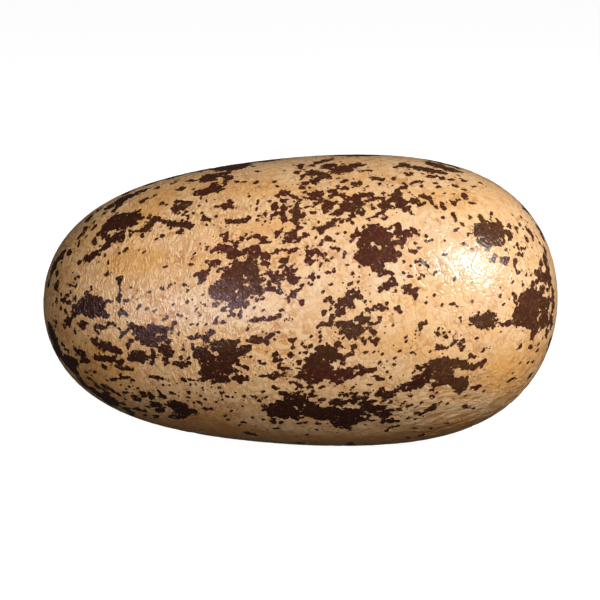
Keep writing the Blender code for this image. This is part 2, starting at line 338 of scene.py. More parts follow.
        (185.5, 285, 2.4, 1.8, 0), (162, 288.5, 3.6, 1.1, -4), (169, 285.5, 1.9, .8, 25),
        (150, 292, 1.4, 1.3, 0), (198, 284, 1.9, 1.6, 0), (174, 304, 1.4, 1.2, 0),
        (140, 304.5, 1.7, 1.3, 0), (147, 309, 1.5, 1, 60), (137.5, 309.5, 1.3, .9, 0),
        (155, 311, 2, .8, 0), (180, 315, 3.2, 1.3, -4), (174.5, 322.5, 2.8, 2.3, -40),
        (163, 319.5, 1.7, 1.4, 0), (201, 316.5, 1.1, .9, 0), (216, 317, 1.3, 1, 60),
        (207, 323.5, 1.2, .9, 0), (214, 322.5, 1.2, .9, 60), (198, 325.5, 1.3, 1, 60),
        (179, 332, 2, 1, 80), (187, 290, 1.1, .8, 0), (202, 294.5, 1, .8, 0),
        (192, 323.5, 2, .7, 0), (193, 258.5, 1.8, 1, -35), (191.5, 264.5, 2.6, .9, -5),
        (206.5, 248.5, 2.4, 1, 50), (194, 253, 1, .8, 0), (166, 267.5, 2.1, 1, 0),
        (131, 288, 1.2, .9, 70),
    ), depth=0.3),
    Blotch("branch", Pigment.CHOCOLATE, (
        (345, 301, 7.6, 5.4, 20), (349, 296, 5, 4.4, 40), (353, 291.5, 3.2, 1.5, 40),
        (340, 300, 3, 2.4, 0), (340.5, 313, 6, 5.4, 0), (351, 306, 4, 4, 0),
        (325, 324.5, 4.6, 2.5, -10), (332, 320, 4.2, 2.8, 32), (331, 317, 2.1, 1.9, 0),
        (357, 293, 3.6, 1.2, 36), (360, 297, 2.7, 2, 10), (370.5, 293, 2.9, 2.2, 0),
        (325, 300.5, 2.5, 1.5, 15), (329, 297, 2.2, 1.2, 12), (333, 302, 2.5, 1.2, -20),
        (325, 311, 1.7, 1.2, 0), (331, 309.5, 1.7, 1.6, 0), (325, 315.5, 1.3, 1, 0),
        (316.5, 327.5, 1.9, 1.4, 10), (319, 332.5, 1.5, 1.2, 0), (320.5, 337, 1.7, 1.1, 0),
        (321, 341, 1.5, 1.1, 0), (312, 336.5, 1.2, 1, 0), (354, 346, 3.7, 3, -25),
        (338, 344, 4.3, 3.3, -10), (343.5, 339.5, 2, 1.2, -60), (365, 302.5, 1.9, .7, -10),
        (380, 290, 3.1, 1.9, 12),
    )),
    Blotch("branch_olive", Pigment.OLIVE, (
        (350, 327, 12, 7.8, 0), (352, 334, 8, 5.6, 0), (342, 325, 7, 5.4, -30),
        (359, 316.5, 4.6, 1.9, 20), (364, 320, 5, 2.9, 10), (369, 317.5, 1.8, 1.4, 0),
        (361, 331, 3.4, 2.2, 0),
    )),
    Blotch("right_of_branch", Pigment.CHOCOLATE, (
        (367, 309.5, 3.4, 2.4, 0), (379, 308, 7.6, 2.8, -2), (387, 302.5, 1.4, 1, 40),
        (380, 320.5, 2.7, 2.2, 80), (376, 324.5, 2, .8, 20), (372, 322.5, 1.2, .8, 0),
        (368, 328.5, 3.5, 1.5, -10), (371, 331, 1.9, 1.5, 0), (374.5, 333, 3, 2.2, 35),
        (370, 337, 1.7, 1.5, 0), (363, 337.5, 1.3, 1, 0), (364.5, 342, 2.3, 1.3, -45),
        (377, 340, 5.1, 2.1, 15), (376, 345, 1, .8, 0), (365, 353, 3, 2, 0),
        (352, 353.5, 2.7, 1.7, -10), (348, 355, 1.9, 1.5, 0), (374, 353, 1.5, 1, 20),
        (379, 363, 2.3, 1, 16), (386.5, 372, 1.3, 1.2, 0), (348, 367.5, 1.9, 1.2, 0),
        (395, 357.5, 1.3, 1, 0), (400.5, 351.5, 1.5, 1, 0), (412, 352.5, 2.9, .8, 0),
        (430, 351.5, 1.3, .8, 0), (390.5, 377, 1.7, 1.1, 70), (383, 355, 1.6, .8, -60),
    )),
    Blotch("lower_right_marks", Pigment.CHOCOLATE, (
        (439, 347.5, 3.8, 2.1, 26), (437, 334, 2.9, 1.6, -40), (446, 336.5, 2.3, 1.8, 0),
        (454, 335.5, 2.5, 1.6, 40), (456, 341.5, 2.4, 2, 50), (458, 344.5, 1.7, 1.2, -50),
        (463, 341, 2.7, 2.3, 60), (462, 347.5, 3.2, 2.4, 60), (452, 345.5, 1.3, 1, 0),
        (445, 333.5, 1.1, .8, 0), (438.5, 328.5, 1.2, .8, 40), (443, 349, 1.8, .8, 40),
        (448, 348.5, 1.4, .8, 40), (476, 338, 1.2, .9, 0), (483, 350.5, 4.6, 1, 48),
        (532, 339.5, 1.4, 1.1, 0), (538, 344.5, 2.1, 1, 60), (530.5, 345.5, 1.5, .8, 20),
        (520.5, 344.5, 1.5, 1, 20), (521, 347.5, 1.2, .8, 0), (531, 349, 1.4, .8, 20),
        (537, 351, 2.4, .9, 48), (528, 363, 1.3, .8, 0), (520, 362, 1.2, .8, 40),
        (532, 361, 1.2, .8, 40), (530, 376, 4.6, 1, 48), (510, 380.5, 4.6, .9, 38),
        (515.5, 377.8, 2.4, .8, 0),
    )),
    Blotch("lower_right", Pigment.OLIVE, (
        (438, 366, 10, 8, 10), (446, 372, 9.5, 8.5, 0), (444, 362, 10, 4.4, 0),
        (457, 363.5, 11, 4, 0), (464, 365.5, 7, 3.6, -8), (472, 367.5, 6, 2.7, 8),
        (479.5, 363.5, 5.4, 2.1, 48), (470, 356, 3, 1.5, 80), (474.5, 357.5, 1.8, 1, 0),
        (460, 384, 8, 4.6, 8), (464, 382, 6, 5.4, 20), (460.5, 389, 5, 3, 80),
        (455, 386, 5, 2.9, -35), (439, 378, 10, 7, 0), (447, 376, 8, 8, 0),
    ), depth=0.15),
    Blotch("lower_right_tail", Pigment.CHOCOLATE, (
        (428, 371, 9, 3.6, 38), (425, 378, 8, 4, 38), (419, 384, 9, 3.9, 22),
        (406, 384.5, 7.4, 1.8, 20), (437, 384, 6.5, 2.7, 5), (448, 381, 6.5, 2, 0),
        (418, 367.5, 3.6, 1.5, -22), (424, 365.5, 5, 1, 10), (418, 375.5, 3.1, 1.2, 12),
        (414.5, 378, 2.1, 1.2, 0), (413.5, 373, 1.3, .8, 0), (396, 391, 7, 1.9, 28),
        (389, 395, 6, 2.8, 12), (406, 390, 5, 1, 5), (411, 396, 3.1, 1.5, 5),
        (382, 393, 4, 1.9, 10), (391, 402.5, 2.7, 1.7, 10), (384, 401, 3.2, 1.4, 0),
        (403, 403, 2.6, 1.2, 22), (408, 406, 2.7, 1.1, 22), (391, 409.5, 3.3, 1.5, 0),
        (399.5, 409, 3.9, 1.9, 10), (417, 413, 3.2, 1.2, 10), (416.5, 407, 1.6, .9, 0),
        (432, 408, 5.6, 3.1, 20), (424, 413, 5.2, 1.1, 33), (421, 402.5, 2.6, .8, 32),
        (440, 403, 2.5, .8, 10), (447, 404.5, 1.4, .8, 40), (437, 392.5, 1.2, .9, 10),
        (431, 390.5, 1.2, .8, 0), (465, 396, 1.6, .7, 20),
    ), depth=0.65),
    Blotch("maroon_drops", Pigment.MAROON, (
        (476, 387.5, 5.1, 1.9, 12), (432.5, 396.5, 2.9, 2, 20), (465, 406.5, 2.8, 1.9, 0),
        (471, 408, 4, .9, 0), (483.5, 363.5, 5, 1.2, 50), (484, 391.5, 1.2, .8, 0),
        (446, 379, 1.5, 1, 0),
    )),
    Blotch("left_end", Pigment.CHOCOLATE, (
        (90, 305.5, 12.4, 10.6, 10), (98, 311, 7, 7, 0), (80, 308.5, 7, 6.4, 20),
        (105, 302, 3.6, 1.6, 25), (91, 290.5, 3.6, 1, 80), (86, 293, 3, 1, 85),
        (84, 324, 4.4, 3, -10), (83, 328, 2.4, 1.4, -80), (79, 324.5, 3.2, 1.2, -60),
        (74.5, 313.5, 4.2, 2.2, -62), (68, 321, 5, 4, 80), (66, 312, 3.2, 1.5, -62),
        (64, 326, 2, 1.4, 60), (56.5, 301, 2, 1.6, 80), (64, 301, 3.3, 1.7, -12),
        (65, 298, 2.5, 1.2, 80), (69.5, 303, 2.3, 1.9, -20), (75, 297.5, 2.8, 1.7, 80),
        (56.5, 287, 4.1, 2.3, -80), (70, 285, 2.3, 1.6, 10), (76, 285, 2.5, 1.2, 70),
        (77, 278, 2.7, 1.4, 10), (59.5, 281.5, 1.7, .9, 80), (56, 321.5, 1.6, 1.3, 80),
        (53, 304, 2.5, .9, 80), (61, 308, 3, .8, 80), (107, 274.5, 3.8, 1.7, 42),
        (107.5, 262, 2.2, 1, 70), (104.5, 255, 1.6, 1, 50), (70.5, 291, 1.2, 1, 0),
        (55.5, 327, 1.5, 1, 60), (101, 327, 4.6, 2.3, -8), (110.5, 323.5, 3.7, 2.5, 10),
        (116.5, 327, 4, 1.1, -28), (95, 326, 2, 1.7, -60), (99, 333.5, 1.8, 1.6, 0),
        (95.5, 331, 1.6, .8, -60), (75, 330.5, 1.1, .9, 0), (124.5, 332.5, 2.9, 1.8, -5),
        (121, 337, 1.9, 1.2, 0), (105, 317, 1.9, 1.6, 30), (109, 316, 2.2, 1.3, 60),
        (119, 277.5, 3.2, 1.4, 20), (119.5, 281, 2.6, 1.9, 70), (120, 289, 5.4, .9, -85),
        (118.5, 297, 2.6, 1, 50), (119, 300.5, 2.5, 2.2, 0), (126, 300.5, 2.9, 2.1, -30),
        (119.5, 313, 3.9, 1.5, 72), (123, 312, 2.6, 1.4, 0), (126, 315.5, 2.1, 1.5, -50),
        (111.5, 302.5, 1.2, 1, 0), (68, 294.5, 1.2, .8, 0), (75, 333.5, 1.8, .7, 60),
        (61, 295, 1, .7, 0),
    ), depth=0.9),
    Blotch("left_end_rim", Pigment.CHOCOLATE, (
        (53, 338, 17, 2.9, -70), (58, 352, 8, 3, -58), (70, 363, 9.5, 6, -38),
        (85, 361, 6, 2, -10), (80, 353, 9, 3.3, -45), (66.5, 350, 2.6, 1.5, -12),
        (63, 344.5, 2.6, 1, -40), (75, 371, 4.5, 2.6, -55), (84, 384, 9, 1.8, -42),
        (97, 393.5, 10, 2.2, -40), (110, 401, 11, 4.4, -34), (104, 396.5, 6, 3, -32),
        (97, 386, 4, 1.4, -35), (102, 385, 2.8, 1.1, -35), (108, 388, 3.2, 1.4, -45),
        (113, 390.5, 3.2, 1.1, -45), (105, 391, 4, 1.4, -30), (90, 379, 4, .9, -40),
        (81, 378, 4, 1, -45), (128, 411, 7, 1.4, -28),
    ), depth=1),
    Blotch("left_end_wedges", Pigment.RUSSET, (
        (104, 345.5, 10.5, 4.8, -14), (95, 341.5, 5, 2.9, -22), (113, 349.5, 7.4, 3.2, -14),
        (103, 359, 9.6, 4, -12), (104.5, 367, 2.8, 2.3, -50), (113, 358.5, 3.4, 2.6, 0),
        (121, 362, 3.4, 2.8, 0), (119, 352.5, 4, 1.6, -20),
    ), depth=0.9),
    Blotch("low_left", Pigment.CHOCOLATE, (
        (134, 357, 6.2, 6, 80), (141.5, 357, 6.4, 5.2, 85), (153, 358, 7.6, 3, 84),
        (168, 352.5, 5.6, 4.6, 0), (161.5, 350, 4, 2.4, -30), (165.5, 360, 4.8, 1.2, -42),
        (177, 364, 5.2, 1.9, -10), (182, 365, 3.6, 2.9, 80), (181, 358, 1.9, 1.5, 0),
        (189.5, 363.5, 2.1, 1.8, 0), (164, 364.5, 1.5, 1.2, -30), (128, 346, 2.4, 1.8, 80),
        (131.5, 341, 2.9, 2.4, 0), (131.5, 325.5, 3.9, 3.5, 0), (126, 369, 7.2, 1.6, -4),
        (155.5, 377.5, 7, 1.7, -4), (113, 379.5, 6, 1.4, 12), (126, 377.5, 4, 1.2, 0),
        (121, 375.5, 1.8, .9, 80), (132, 380.5, 1.6, .9, 0), (129, 386, 1.5, 1, 0),
        (137.5, 388.5, 1.3, .9, 0), (163, 384.5, 1.3, .9, 20), (89, 371, 3.2, 1.2, 0),
        (95, 372, 1.4, 1.2, 0), (86, 373, 1.4, 1, 0), (189, 359, 1.6, 1, 0),
        (117, 366.5, 2, 1, -50),
    ), depth=0.8),
    Blotch("low_left_fan", Pigment.CHOCOLATE, (
        (145, 335, 11, 7, -16), (150, 341, 12, 5.6, -16), (152, 327, 4.4, 3.8, 80),
        (162, 330, 8, 4.6, 12), (164, 341, 6.4, 5.4, 0), (141, 329.5, 4.4, 3.4, 0),
        (171, 329.5, 3.4, 1.9, 0), (165, 347, 4, 2.6, 0), (171, 342, 2, 1.4, 0),
    ), depth=0.6),
    Blotch("bottom_left", Pigment.CHOCOLATE, (
        (126, 393.5, 4.1, 1.6, -6), (134, 396.5, 3.5, 1.9, -20), (137, 400, 4.2, 1.3, -15),
        (126.5, 399.5, 1.8, 1, 0), (143, 395, 3.4, 2.6, -50), (149, 394, 2.4, 1.5, -80),
        (151.5, 397, 3.7, 2.4, -30), (163.5, 397, 4.2, 2.5, -20), (158.5, 392, 1.7, 1, -70),
        (172, 393, 4, 1, -26), (189, 392.5, 2.3, 1.4, -60), (188.5, 398, 2.1, .9, 0),
        (200.5, 395, 1.6, .9, -40), (205.5, 399, 1.3, .8, 0), (198.5, 402.5, 3.2, 1, -25),
        (208.5, 409, 5.6, 1.1, -3), (175, 405, 8, 4.6, -12), (182, 410, 10, 6.4, -28),
        (190, 411, 8, 3.3, -16), (178, 416.5, 9, 2.6, 0), (156, 405, 6.2, 3.3, -12),
        (160, 410, 6.2, 2.4, -6), (147, 406.5, 3.2, .9, -10), (144, 411, 3.1, 1.2, 0),
        (137, 409, 5, 1.2, -6), (145.5, 415.5, 2, .9, 0), (156, 416.5, 3.5, 1.7, -6),
        (132, 415, 2.2, .9, -30), (126, 408, 4, 1.2, -20), (191, 385, 1.8, 1.3, 0),
        (203, 388.5, 1.2, 1, 0), (189, 431.5, 2.6, .8, -10), (119, 395, 3, 1.1, -30),
        (124, 404, 4, 1.2, -25),
    ), depth=1),
    Blotch("lower_left_crown", Pigment.OLIVE, (
        (226, 345, 9, 6, 0), (214, 345.5, 6, 5, 0), (236, 342, 4, 3.6, 80), (222, 352, 9, 6, 0),
        (206, 339.5, 3.6, 2.5, 80), (207, 335, 4, 1.2, 35), (212, 331.5, 3.5, 1.8, 0),
        (197.5, 336, 3.1, 2.8, 20), (190, 337.5, 2.7, 2.1, 0), (194, 345, 3.1, 1.2, 0),
        (182.5, 349.5, 2.1, 1.6, 0),
    ), depth=0.6),
    Blotch("lower_left_foot", Pigment.CHOCOLATE, (
        (201, 353, 9, 6.2, -6), (205, 366, 12, 6.4, -84), (219, 363, 14, 10, 80),
        (228, 367, 9.5, 6, 80), (214, 378, 13, 4.6, 0), (233, 355, 8.4, 6, 8),
        (243, 350, 7.4, 4, 25), (245, 348, 6, 3.6, 22), (241, 378.5, 8.2, 4.3, -5),
        (235, 371, 4.4, 2.2, 0), (191, 379.5, 9.4, 1.6, 2), (222, 380, 8, 3, 0),
        (238, 364, 2.4, 1.2, 0), (246, 367.5, 3.7, 1.5, -10), (249.5, 357.5, 1.7, 1, 10),
        (219, 387, 2.2, 1.1, 0),
    ), depth=0.8),
    Blotch("lower_marks", Pigment.CHOCOLATE, (
        (262, 376, 5.2, 1.3, -5), (275, 375.5, 7, 2.8, 5), (283, 374.5, 4, 1, 15),
        (260, 362.5, 2.4, 2, 0), (265, 364.5, 2.3, .9, 0), (276.5, 354.5, 3.9, 2.5, 5),
        (275, 361, 3.2, 1.7, 5), (279, 364.5, 1.9, 1, 0), (282.5, 360, 1.8, 1.2, 0),
        (290.5, 355, 3.2, 2.5, 10), (299, 353.5, 1.6, 1.2, 0), (307, 353, 1.7, 1.2, 0),
        (299, 363, 2.9, 1.6, -25), (284.5, 368.3, 7.6, .9, 0), (298, 368, 4.6, .9, 2),
        (288, 371.5, 3.1, 1.2, 15), (296, 376, 3.7, 1.7, 10), (292, 382.5, 3.5, 1, 0),
        (272.5, 385.5, 2, 1.4, 80), (277, 388, 2, 1.4, 0), (299.5, 385, 2.6, 1.9, 20),
        (296, 389, 1.6, 1, 0), (299.5, 392, 2.5, 1.7, 30), (308, 387.5, 5.6, 1.2, 5),
        (305, 394, 1.8, 1.5, 0), (314, 392, 4, .8, 3), (313, 382.5, 6, 1.5, -5),
        (321, 386.5, 3.1, .9, -5), (263, 391, 1.7, .7, 10), (222, 393, 2.7, 1.2, -6),
        (227.5, 396, 3, .9, -8), (244.5, 396, 1.9, 1.2, 0), (233, 396.5, 1.1, .8, 0),
        (222, 400, 1.5, .7, 0), (254.5, 397.3, 4, 1.1, -20), (259, 400.5, 2.7, 1.5, -35),
        (266, 396.5, 2.5, 1, 26), (264, 405.5, 2.7, 1.4, 0), (263.5, 410, 1.9, 1.1, 0),
        (243, 422, 2.5, 1.2, 0), (239, 425.5, 1.3, .8, 0), (224.5, 416.5, 1.6, 1.1, 70),
        (231, 410.5, 1.7, 1, 0), (253, 417.5, 2.1, .8, 0), (250, 433.5, 6.6, 1.4, -13),
        (217, 402, 1.2, .8, 0), (353, 386.5, 1.8, .9, 25), (371, 384, 3, .8, 8),
        (382.5, 389, 1.8, .8, 10), (340, 395.5, 1.4, .8, 0),
    ), depth=0.7),
    Blotch("lower_middle_crown", Pigment.UMBER, (
        (327, 351.5, 13.5, 5.6, 0), (315, 360.5, 10, 8, 25), (331, 357, 9, 6.4, 0),
        (320, 364, 10, 7, 0),
    ), depth=0.6),
    Blotch("lower_middle_foot", Pigment.RUSSET, (
        (316, 370, 13, 7.6, -4), (306, 374, 6, 5.6, 0), (324, 372, 13, 5.4, -14),
        (333, 378, 8, 4.6, -12), (339, 381.5, 5, 2.4, 0), (314, 378.5, 10, 3.4, -4),
        (342, 358.5, 4.2, 2.4, 80), (342.5, 365, 2.5, 2.1, 0), (343, 375, 8, 5.2, -10),
        (349, 372.5, 5, 3.6, 20), (358, 374, 4.2, 2.2, 12), (366, 371, 5, 4, 0),
        (372, 370.5, 4.2, 2.6, 20), (361, 366, 3, 1.2, 30), (357, 368, 3.1, 1.4, 0),
        (375, 377, 5.2, 1.7, -12), (381, 379.5, 3, 1.1, 0),
    ), depth=0.55),
    Blotch("keel", Pigment.CHOCOLATE, (
        (285, 405.5, 14, 7, 8), (283, 411, 14, 7.4, -10), (295, 413, 14, 6.4, 0),
        (300, 401, 11, 5, -5), (284, 393.5, 7, 1.7, -10), (292, 397, 8, 3.4, -8),
        (270.5, 413, 4.6, 4, -60), (313, 396.5, 4.7, 1.8, -6), (311, 406, 9, 4.6, -8),
        (315, 413, 14, 5.4, 0), (322, 400, 5, 1.6, 0), (336, 403, 7.4, 3, -12),
        (342, 402, 7, 3.2, 0), (345, 414, 20, 5.2, 0), (352, 418.5, 18, 5.6, 5),
        (342, 423, 12, 4.6, 0), (348, 427.5, 4.2, 1.4, 0), (330, 411, 9, 4.6, 5),
        (370, 409, 14, 4, 4), (379, 413, 7, 2.4, 10), (365, 403, 8, 2, 0), (355, 400.5, 5, 2.6, 0),
        (322, 418.5, 8, 2, 0), (357, 393, 2.1, 1.4, 0), (346, 395, 5.2, 1.3, 18),
        (356, 397, 5, 1.4, -10), (365.5, 398, 4.1, 2.1, 0), (367, 392.5, 3, 1.2, 10),
        (380, 393.5, 6, 2.2, 20), (387, 396, 4, 2.2, 0), (374, 401, 3.2, 1.4, 0),
        (385, 415, 5.4, 4, 30), (390, 421, 9.4, 1.7, 3), (382, 408, 4.4, 2.8, 0),
        (273, 421.5, 3.1, 2.2, 0), (281, 422, 2.9, 1.8, 0), (305, 422.5, 3.7, 1, 3),
        (298, 423.5, 2.1, .9, 0), (318, 423.5, 3.5, .9, 0), (276, 428.5, 4, .9, 5),
        (386, 431, 2.8, 1.1, 0), (395, 426.5, 6.2, 1, 12), (409, 418, 2.7, 1.1, 10),
        (416, 418.5, 2.2, .8, 6), (414, 428, 1.6, .8, 0), (431, 428.5, 1.7, .8, 0),
        (421, 435, 3.8, 1, 14), (409, 438, 2.2, .9, 0), (446.5, 423, 2.2, 1, 12),
        (307, 434.5, 2.1, .8, 0), (350, 444, 5, 1.4, 0), (300, 443, 4, .9, 0),
        (373, 420, 3, 1, 20), (263, 420, 1.6, .8, 0),
    ), depth=0.95),
    # Painted shade: a thin dark line along the top and upper right of the outline
    Blotch("crown_rim_shade", Pigment.CHOCOLATE, (
        (128, 192, 8, 1.1, 28), (152, 182.8, 9, 1.1, 20), (176, 175.5, 14, 1.2, 16),
        (203, 169, 13, 1.1, 13), (262, 160.2, 18, 1.2, 5), (356, 154.6, 24, 1.2, 0),
        (436, 161.5, 12, .8, -14), (453, 166, 8, .9, -18), (527, 210, 7, .9, -50),
        (541, 230.5, 7, 1, -60),
    ), depth=0.8),
    Blotch("blunt_end_middle", Pigment.UMBER, (
        (529, 302, 11, 11, 0), (523, 314, 9, 9, 0), (541, 300, 15, 4.6, 84), (533, 322, 10, 8, 0),
        (545, 322, 5, 11, 80),
    ), depth=0.3),
)

# Bare places inside the blotches, in the same form as a lobe
GAPS = (
    (392.5, 204, 2.4, 2.2, 0), (227, 265.5, 3.2, 1.2, -15), (231, 267, 1.8, .9, 70),
    (245.5, 259.7, 1.6, 1, 40), (246.5, 285.5, 2.1, 2, 0), (236, 291.5, 1.8, .7, 80),
    (225, 303, 3.9, 3.2, 0), (228.5, 308, 2, 1.3, 70), (269, 267.5, 1.7, 1, -60),
    (273.5, 285.5, 2.2, 2, 0), (338, 320.3, 3.6, 1, -12), (356, 324, 1.7, 1.5, 0),
    (537, 286, 3.8, 1.8, 35), (540, 310, 2.6, 1.1, 88), (538.5, 319, 3.6, 1.1, 80),
    (546.5, 294.5, 3.2, 2.6, 0), (551, 311, 6, .9, 86), (548.5, 327, 2.6, 1.6, 0),
    (164, 341, 4.6, 1, 80), (160.5, 344, 2.6, .8, 50), (168.5, 337, 2, .9, 60),
    (216.5, 353.5, 3.2, 2.4, -60), (208.5, 361.5, 1.2, .9, 0), (238.5, 361, 3, 1.6, -60),
    (335, 364, 4.6, 2.3, -25), (355.5, 372, 1.9, 1.2, 60), (369, 375, 2.2, 1.2, -60),
    (175, 416, 3, 1, 15), (466, 372.5, 8, 2.4, -14), (457, 374.5, 5, 1.6, 60),
    (433, 380, 3, .9, 10), (304, 406, 2.2, .9, -30), (297, 408.5, 2, .8, -50),
    (316, 404.5, 2.4, 1, -10), (341, 397.5, 2, .9, 0), (262, 283, 1, 1.6, 0),
    (333.5, 384.5, 1.6, 1, 0), (110, 233, 2.6, 1.2, 20), (127, 229, 2.2, .9, 10),
    (155, 225, 3.4, 1.4, 20), (346, 399, 4, 1, 8), (365, 415.5, 3, .7, 0),
    (302, 416.5, 2.4, .7, 0), (88, 326, 1.3, 1.6, 0), (379, 247, 1.2, .8, 0),
    (373, 243.5, .9, 1.4, 0),
)

# Where the shell is stained ochre, in the same form, with the strength last. The ovals along the lower
# rim also deepen the colour there as painted shade.
OCHRE_AND_LOW_SHADE = (
    (150, 206, 34, 13, 32, .9), (136, 262, 34, 15, 8, .8), (245, 189, 62, 9, 0, .7),
    (262, 228, 32, 9, 4, .55), (90, 236, 24, 12, 50, .5), (445, 200, 36, 13, -4, .55),
    (506, 374, 30, 24, 40, 1.0), (110, 366, 34, 24, -36, .75), (205, 416, 30, 7, -6, .8),
    (306, 416, 12, 10, 0, .6), (380, 345, 44, 14, 0, .5), (455, 424, 34, 8, 16, .7),
    (350, 176, 46, 8, 0, .35), (275, 345, 26, 12, 0, .4), (200, 262, 20, 12, 0, .35),
    (495, 192, 24, 14, -35, .3), (80, 385, 30, 16, -42, .6), (535, 345, 12, 24, 0, .5),
)

# Brown painted shade along the lower rim and the lower ends, in the same form
LOWER_RIM_SHADE = (
    (235, 434, 110, 11, -9, 1.0), (195, 419, 26, 6, -10, .6), (420, 437, 90, 11, 10, 1.0),
    (330, 446, 90, 12, 0, 1.0), (92, 372, 26, 12, -42, .6), (60, 330, 12, 30, -75, .5),
    (500, 408, 34, 12, 38, .5), (225, 405, 20, 5, 0, .3), (118, 402, 50, 9, -30, .6),
    (88, 345, 16, 8, -20, .4), (545, 350, 8, 26, 70, .4), (465, 395, 26, 8, 20, .3),
)

# Where the cream is paler, in the same form: painted sheen of the varnish, across the middle, round the
# main highlight and over the sheen on the left
PALE_AND_SHEEN = (
    (345, 265, 80, 34, 5, 1.0), (190, 305, 66, 28, 0, .75), (275, 300, 60, 36, 0, .6),
    (425, 246, 44, 32, -10, .9), (500, 292, 34, 40, 0, .45), (350, 350, 70, 26, 0, .3),
)

# Where fine specks lie thickly, in the same form as a lobe, with the share of places that hold
# one last
SPECKLED = (
    (205, 398, 60, 16, 8, .4), (52, 350, 16, 30, -20, .6), (300, 160, 80, 18, -6, .35),
    (345, 190, 70, 35, 0, .5), (310, 235, 60, 30, 15, .32), (350, 400, 80, 28, 0, .5),
    (150, 402, 60, 20, -18, .85), (90, 235, 40, 26, 40, .45), (95, 345, 50, 22, -25, .4),
    (533, 240, 40, 16, -62, .8), (200, 325, 60, 26, 0, .22), (370, 345, 60, 26, 0, .3),
    (430, 200, 60, 26, -12, .25), (250, 260, 60, 40, 0, .3), (285, 362, 50, 24, 0, .34),
)

# Where the shell is almost clean, in the same form
CLEAN = (
    (168, 268, 38, 26, 10, .9), (280, 325, 30, 22, 0, .7), (440, 318, 46, 16, 0, .8),
    (500, 350, 40, 26, 0, .6), (440, 215, 30, 18, -20, .6), (505, 395, 40, 26, 35, .8),
    (480, 200, 30, 24, -30, .8), (230, 430, 90, 10, -6, .6),
)


@dataclass(frozen=True)
class Strewing:
    """One kind of mark on the side that the photo doesn't show.

    Each mark is made of ovals scattered round its middle. Their number is at least the first of
    the pair and less than the second.
    """

    count: int
    ovals: tuple[int, int]
    scatter_mm: float
    radius_mm: tuple[float, float]


STREWN = (
    Strewing(34, (3, 9), 3.6, (1.2, 3.4)),
    Strewing(190, (1, 4), 1.4, (0.5, 1.2)),
    Strewing(520, (1, 2), 0.4, (0.25, 0.55)),
)
# The marks there take one of these at random
STREWN_PIGMENTS = (
    Pigment.OLIVE, Pigment.UMBER, Pigment.CHOCOLATE, Pigment.CHOCOLATE, Pigment.CHOCOLATE,
    Pigment.RUSSET, Pigment.RUSSET,
)


def normalised(vectors: np.ndarray) -> np.ndarray:
    """Scales each row to length one."""
    return vectors / np.linalg.norm(vectors, axis=-1, keepdims=True)


def smooth_step(values: np.ndarray, low: float, high: float) -> np.ndarray:
    """Rises from 0 at low to 1 at high, level at both ends: 3 s squared less 2 s cubed."""
    share = np.clip((values - low) / (high - low), 0.0, 1.0)
    return share * share * (3.0 - 2.0 * share)


def oval_forms(long: np.ndarray, wide: np.ndarray, turn_deg: np.ndarray) -> np.ndarray:
    """Ovals' forms F, for which p F p is 1 on the rim.

    With R the turn, F is R diag(1 / long^2, 1 / wide^2) R transposed.
    """
    turn = np.radians(turn_deg)
    axes = np.stack([np.cos(turn), -np.sin(turn), np.sin(turn), np.cos(turn)], axis=1).reshape(-1, 2, 2)
    sizes = np.stack([long, wide], axis=1) ** -2.0
    return axes @ (sizes[:, :, None] * axes.transpose(0, 2, 1))


def sum_of_ovals(pixels: np.ndarray, ovals: tuple[tuple[float, ...], ...]) -> np.ndarray:
    """Adds up ovals in the photo, each its strength up to half way out and nothing well past its rim.

    Args:
        pixels: Places in the photo.
        ovals: Middle across and down, half length, half width, climb and strength of each.

    Returns:
        The sum at each place.
    """
    full, gone = 0.5, 1.35
    total = np.zeros(len(pixels))
    for x, y, long, wide, climb, strength in ovals:
        offset = pixels - (x, y)
        form = oval_forms(np.array([long]), np.array([wide]), np.array([-climb]))[0]
        size = np.sqrt(((offset @ form) * offset).sum(axis=1))
        total += strength * smooth_step(size, gone, full)
    return total


class Grain:
    """Smooth random variation through space, between about -1 and 1."""

    CELLS = 256
    GAIN = 1.6

    def __init__(self, seed: int) -> None:
        """Draws the slopes that the variation has at the points of a unit lattice.

        Args:
            seed: Picks one pattern of slopes.
        """
        draw = np.random.default_rng(seed)
        self.order = draw.permutation(self.CELLS)
        self.slopes = normalised(draw.normal(size=(self.CELLS, 3)))

    def at(self, points: np.ndarray, spacing: tuple[float, float, float] | float) -> np.ndarray:
        """The variation at each point.

        Each lattice corner round a point gives its slope times the way from it to the point,
        and the eight are blended by 6 f^5 - 15 f^4 + 10 f^3 of the place between them.

        Args:
            points: Rows of x, y and z.
            spacing: The lattice's spacing, along all axes or along each.

        Returns:
            One number for each point.
        """
        scaled = points / np.asarray(spacing)
        cell = np.floor(scaled).astype(np.int64)
        inside = scaled - cell
        fade = inside**3 * (inside * (inside * 6.0 - 15.0) + 10.0)
        total = np.zeros(len(points))
        for corner in itertools.product((0, 1), repeat=3):
            at_corner = (cell + corner) % self.CELLS
            index = self.order[at_corner[:, 0]]
            index = self.order[(index + at_corner[:, 1]) % self.CELLS]
            index = self.order[(index + at_corner[:, 2]) % self.CELLS]
            rise = ((inside - corner) * self.slopes[index]).sum(axis=1)
            total += rise * np.where(corner, fade, 1.0 - fade).prod(axis=1)
        return total * self.GAIN

    def push(self, points: np.ndarray, spacing: float, reach: float) -> np.ndarray:
        """Moves each point by up to about reach, in a direction that varies with the spacing."""
        steps = [self.at(points + offset, spacing) for offset in (0.0, 31.7, 67.3)]
        return points + reach * np.stack(steps, axis=1)


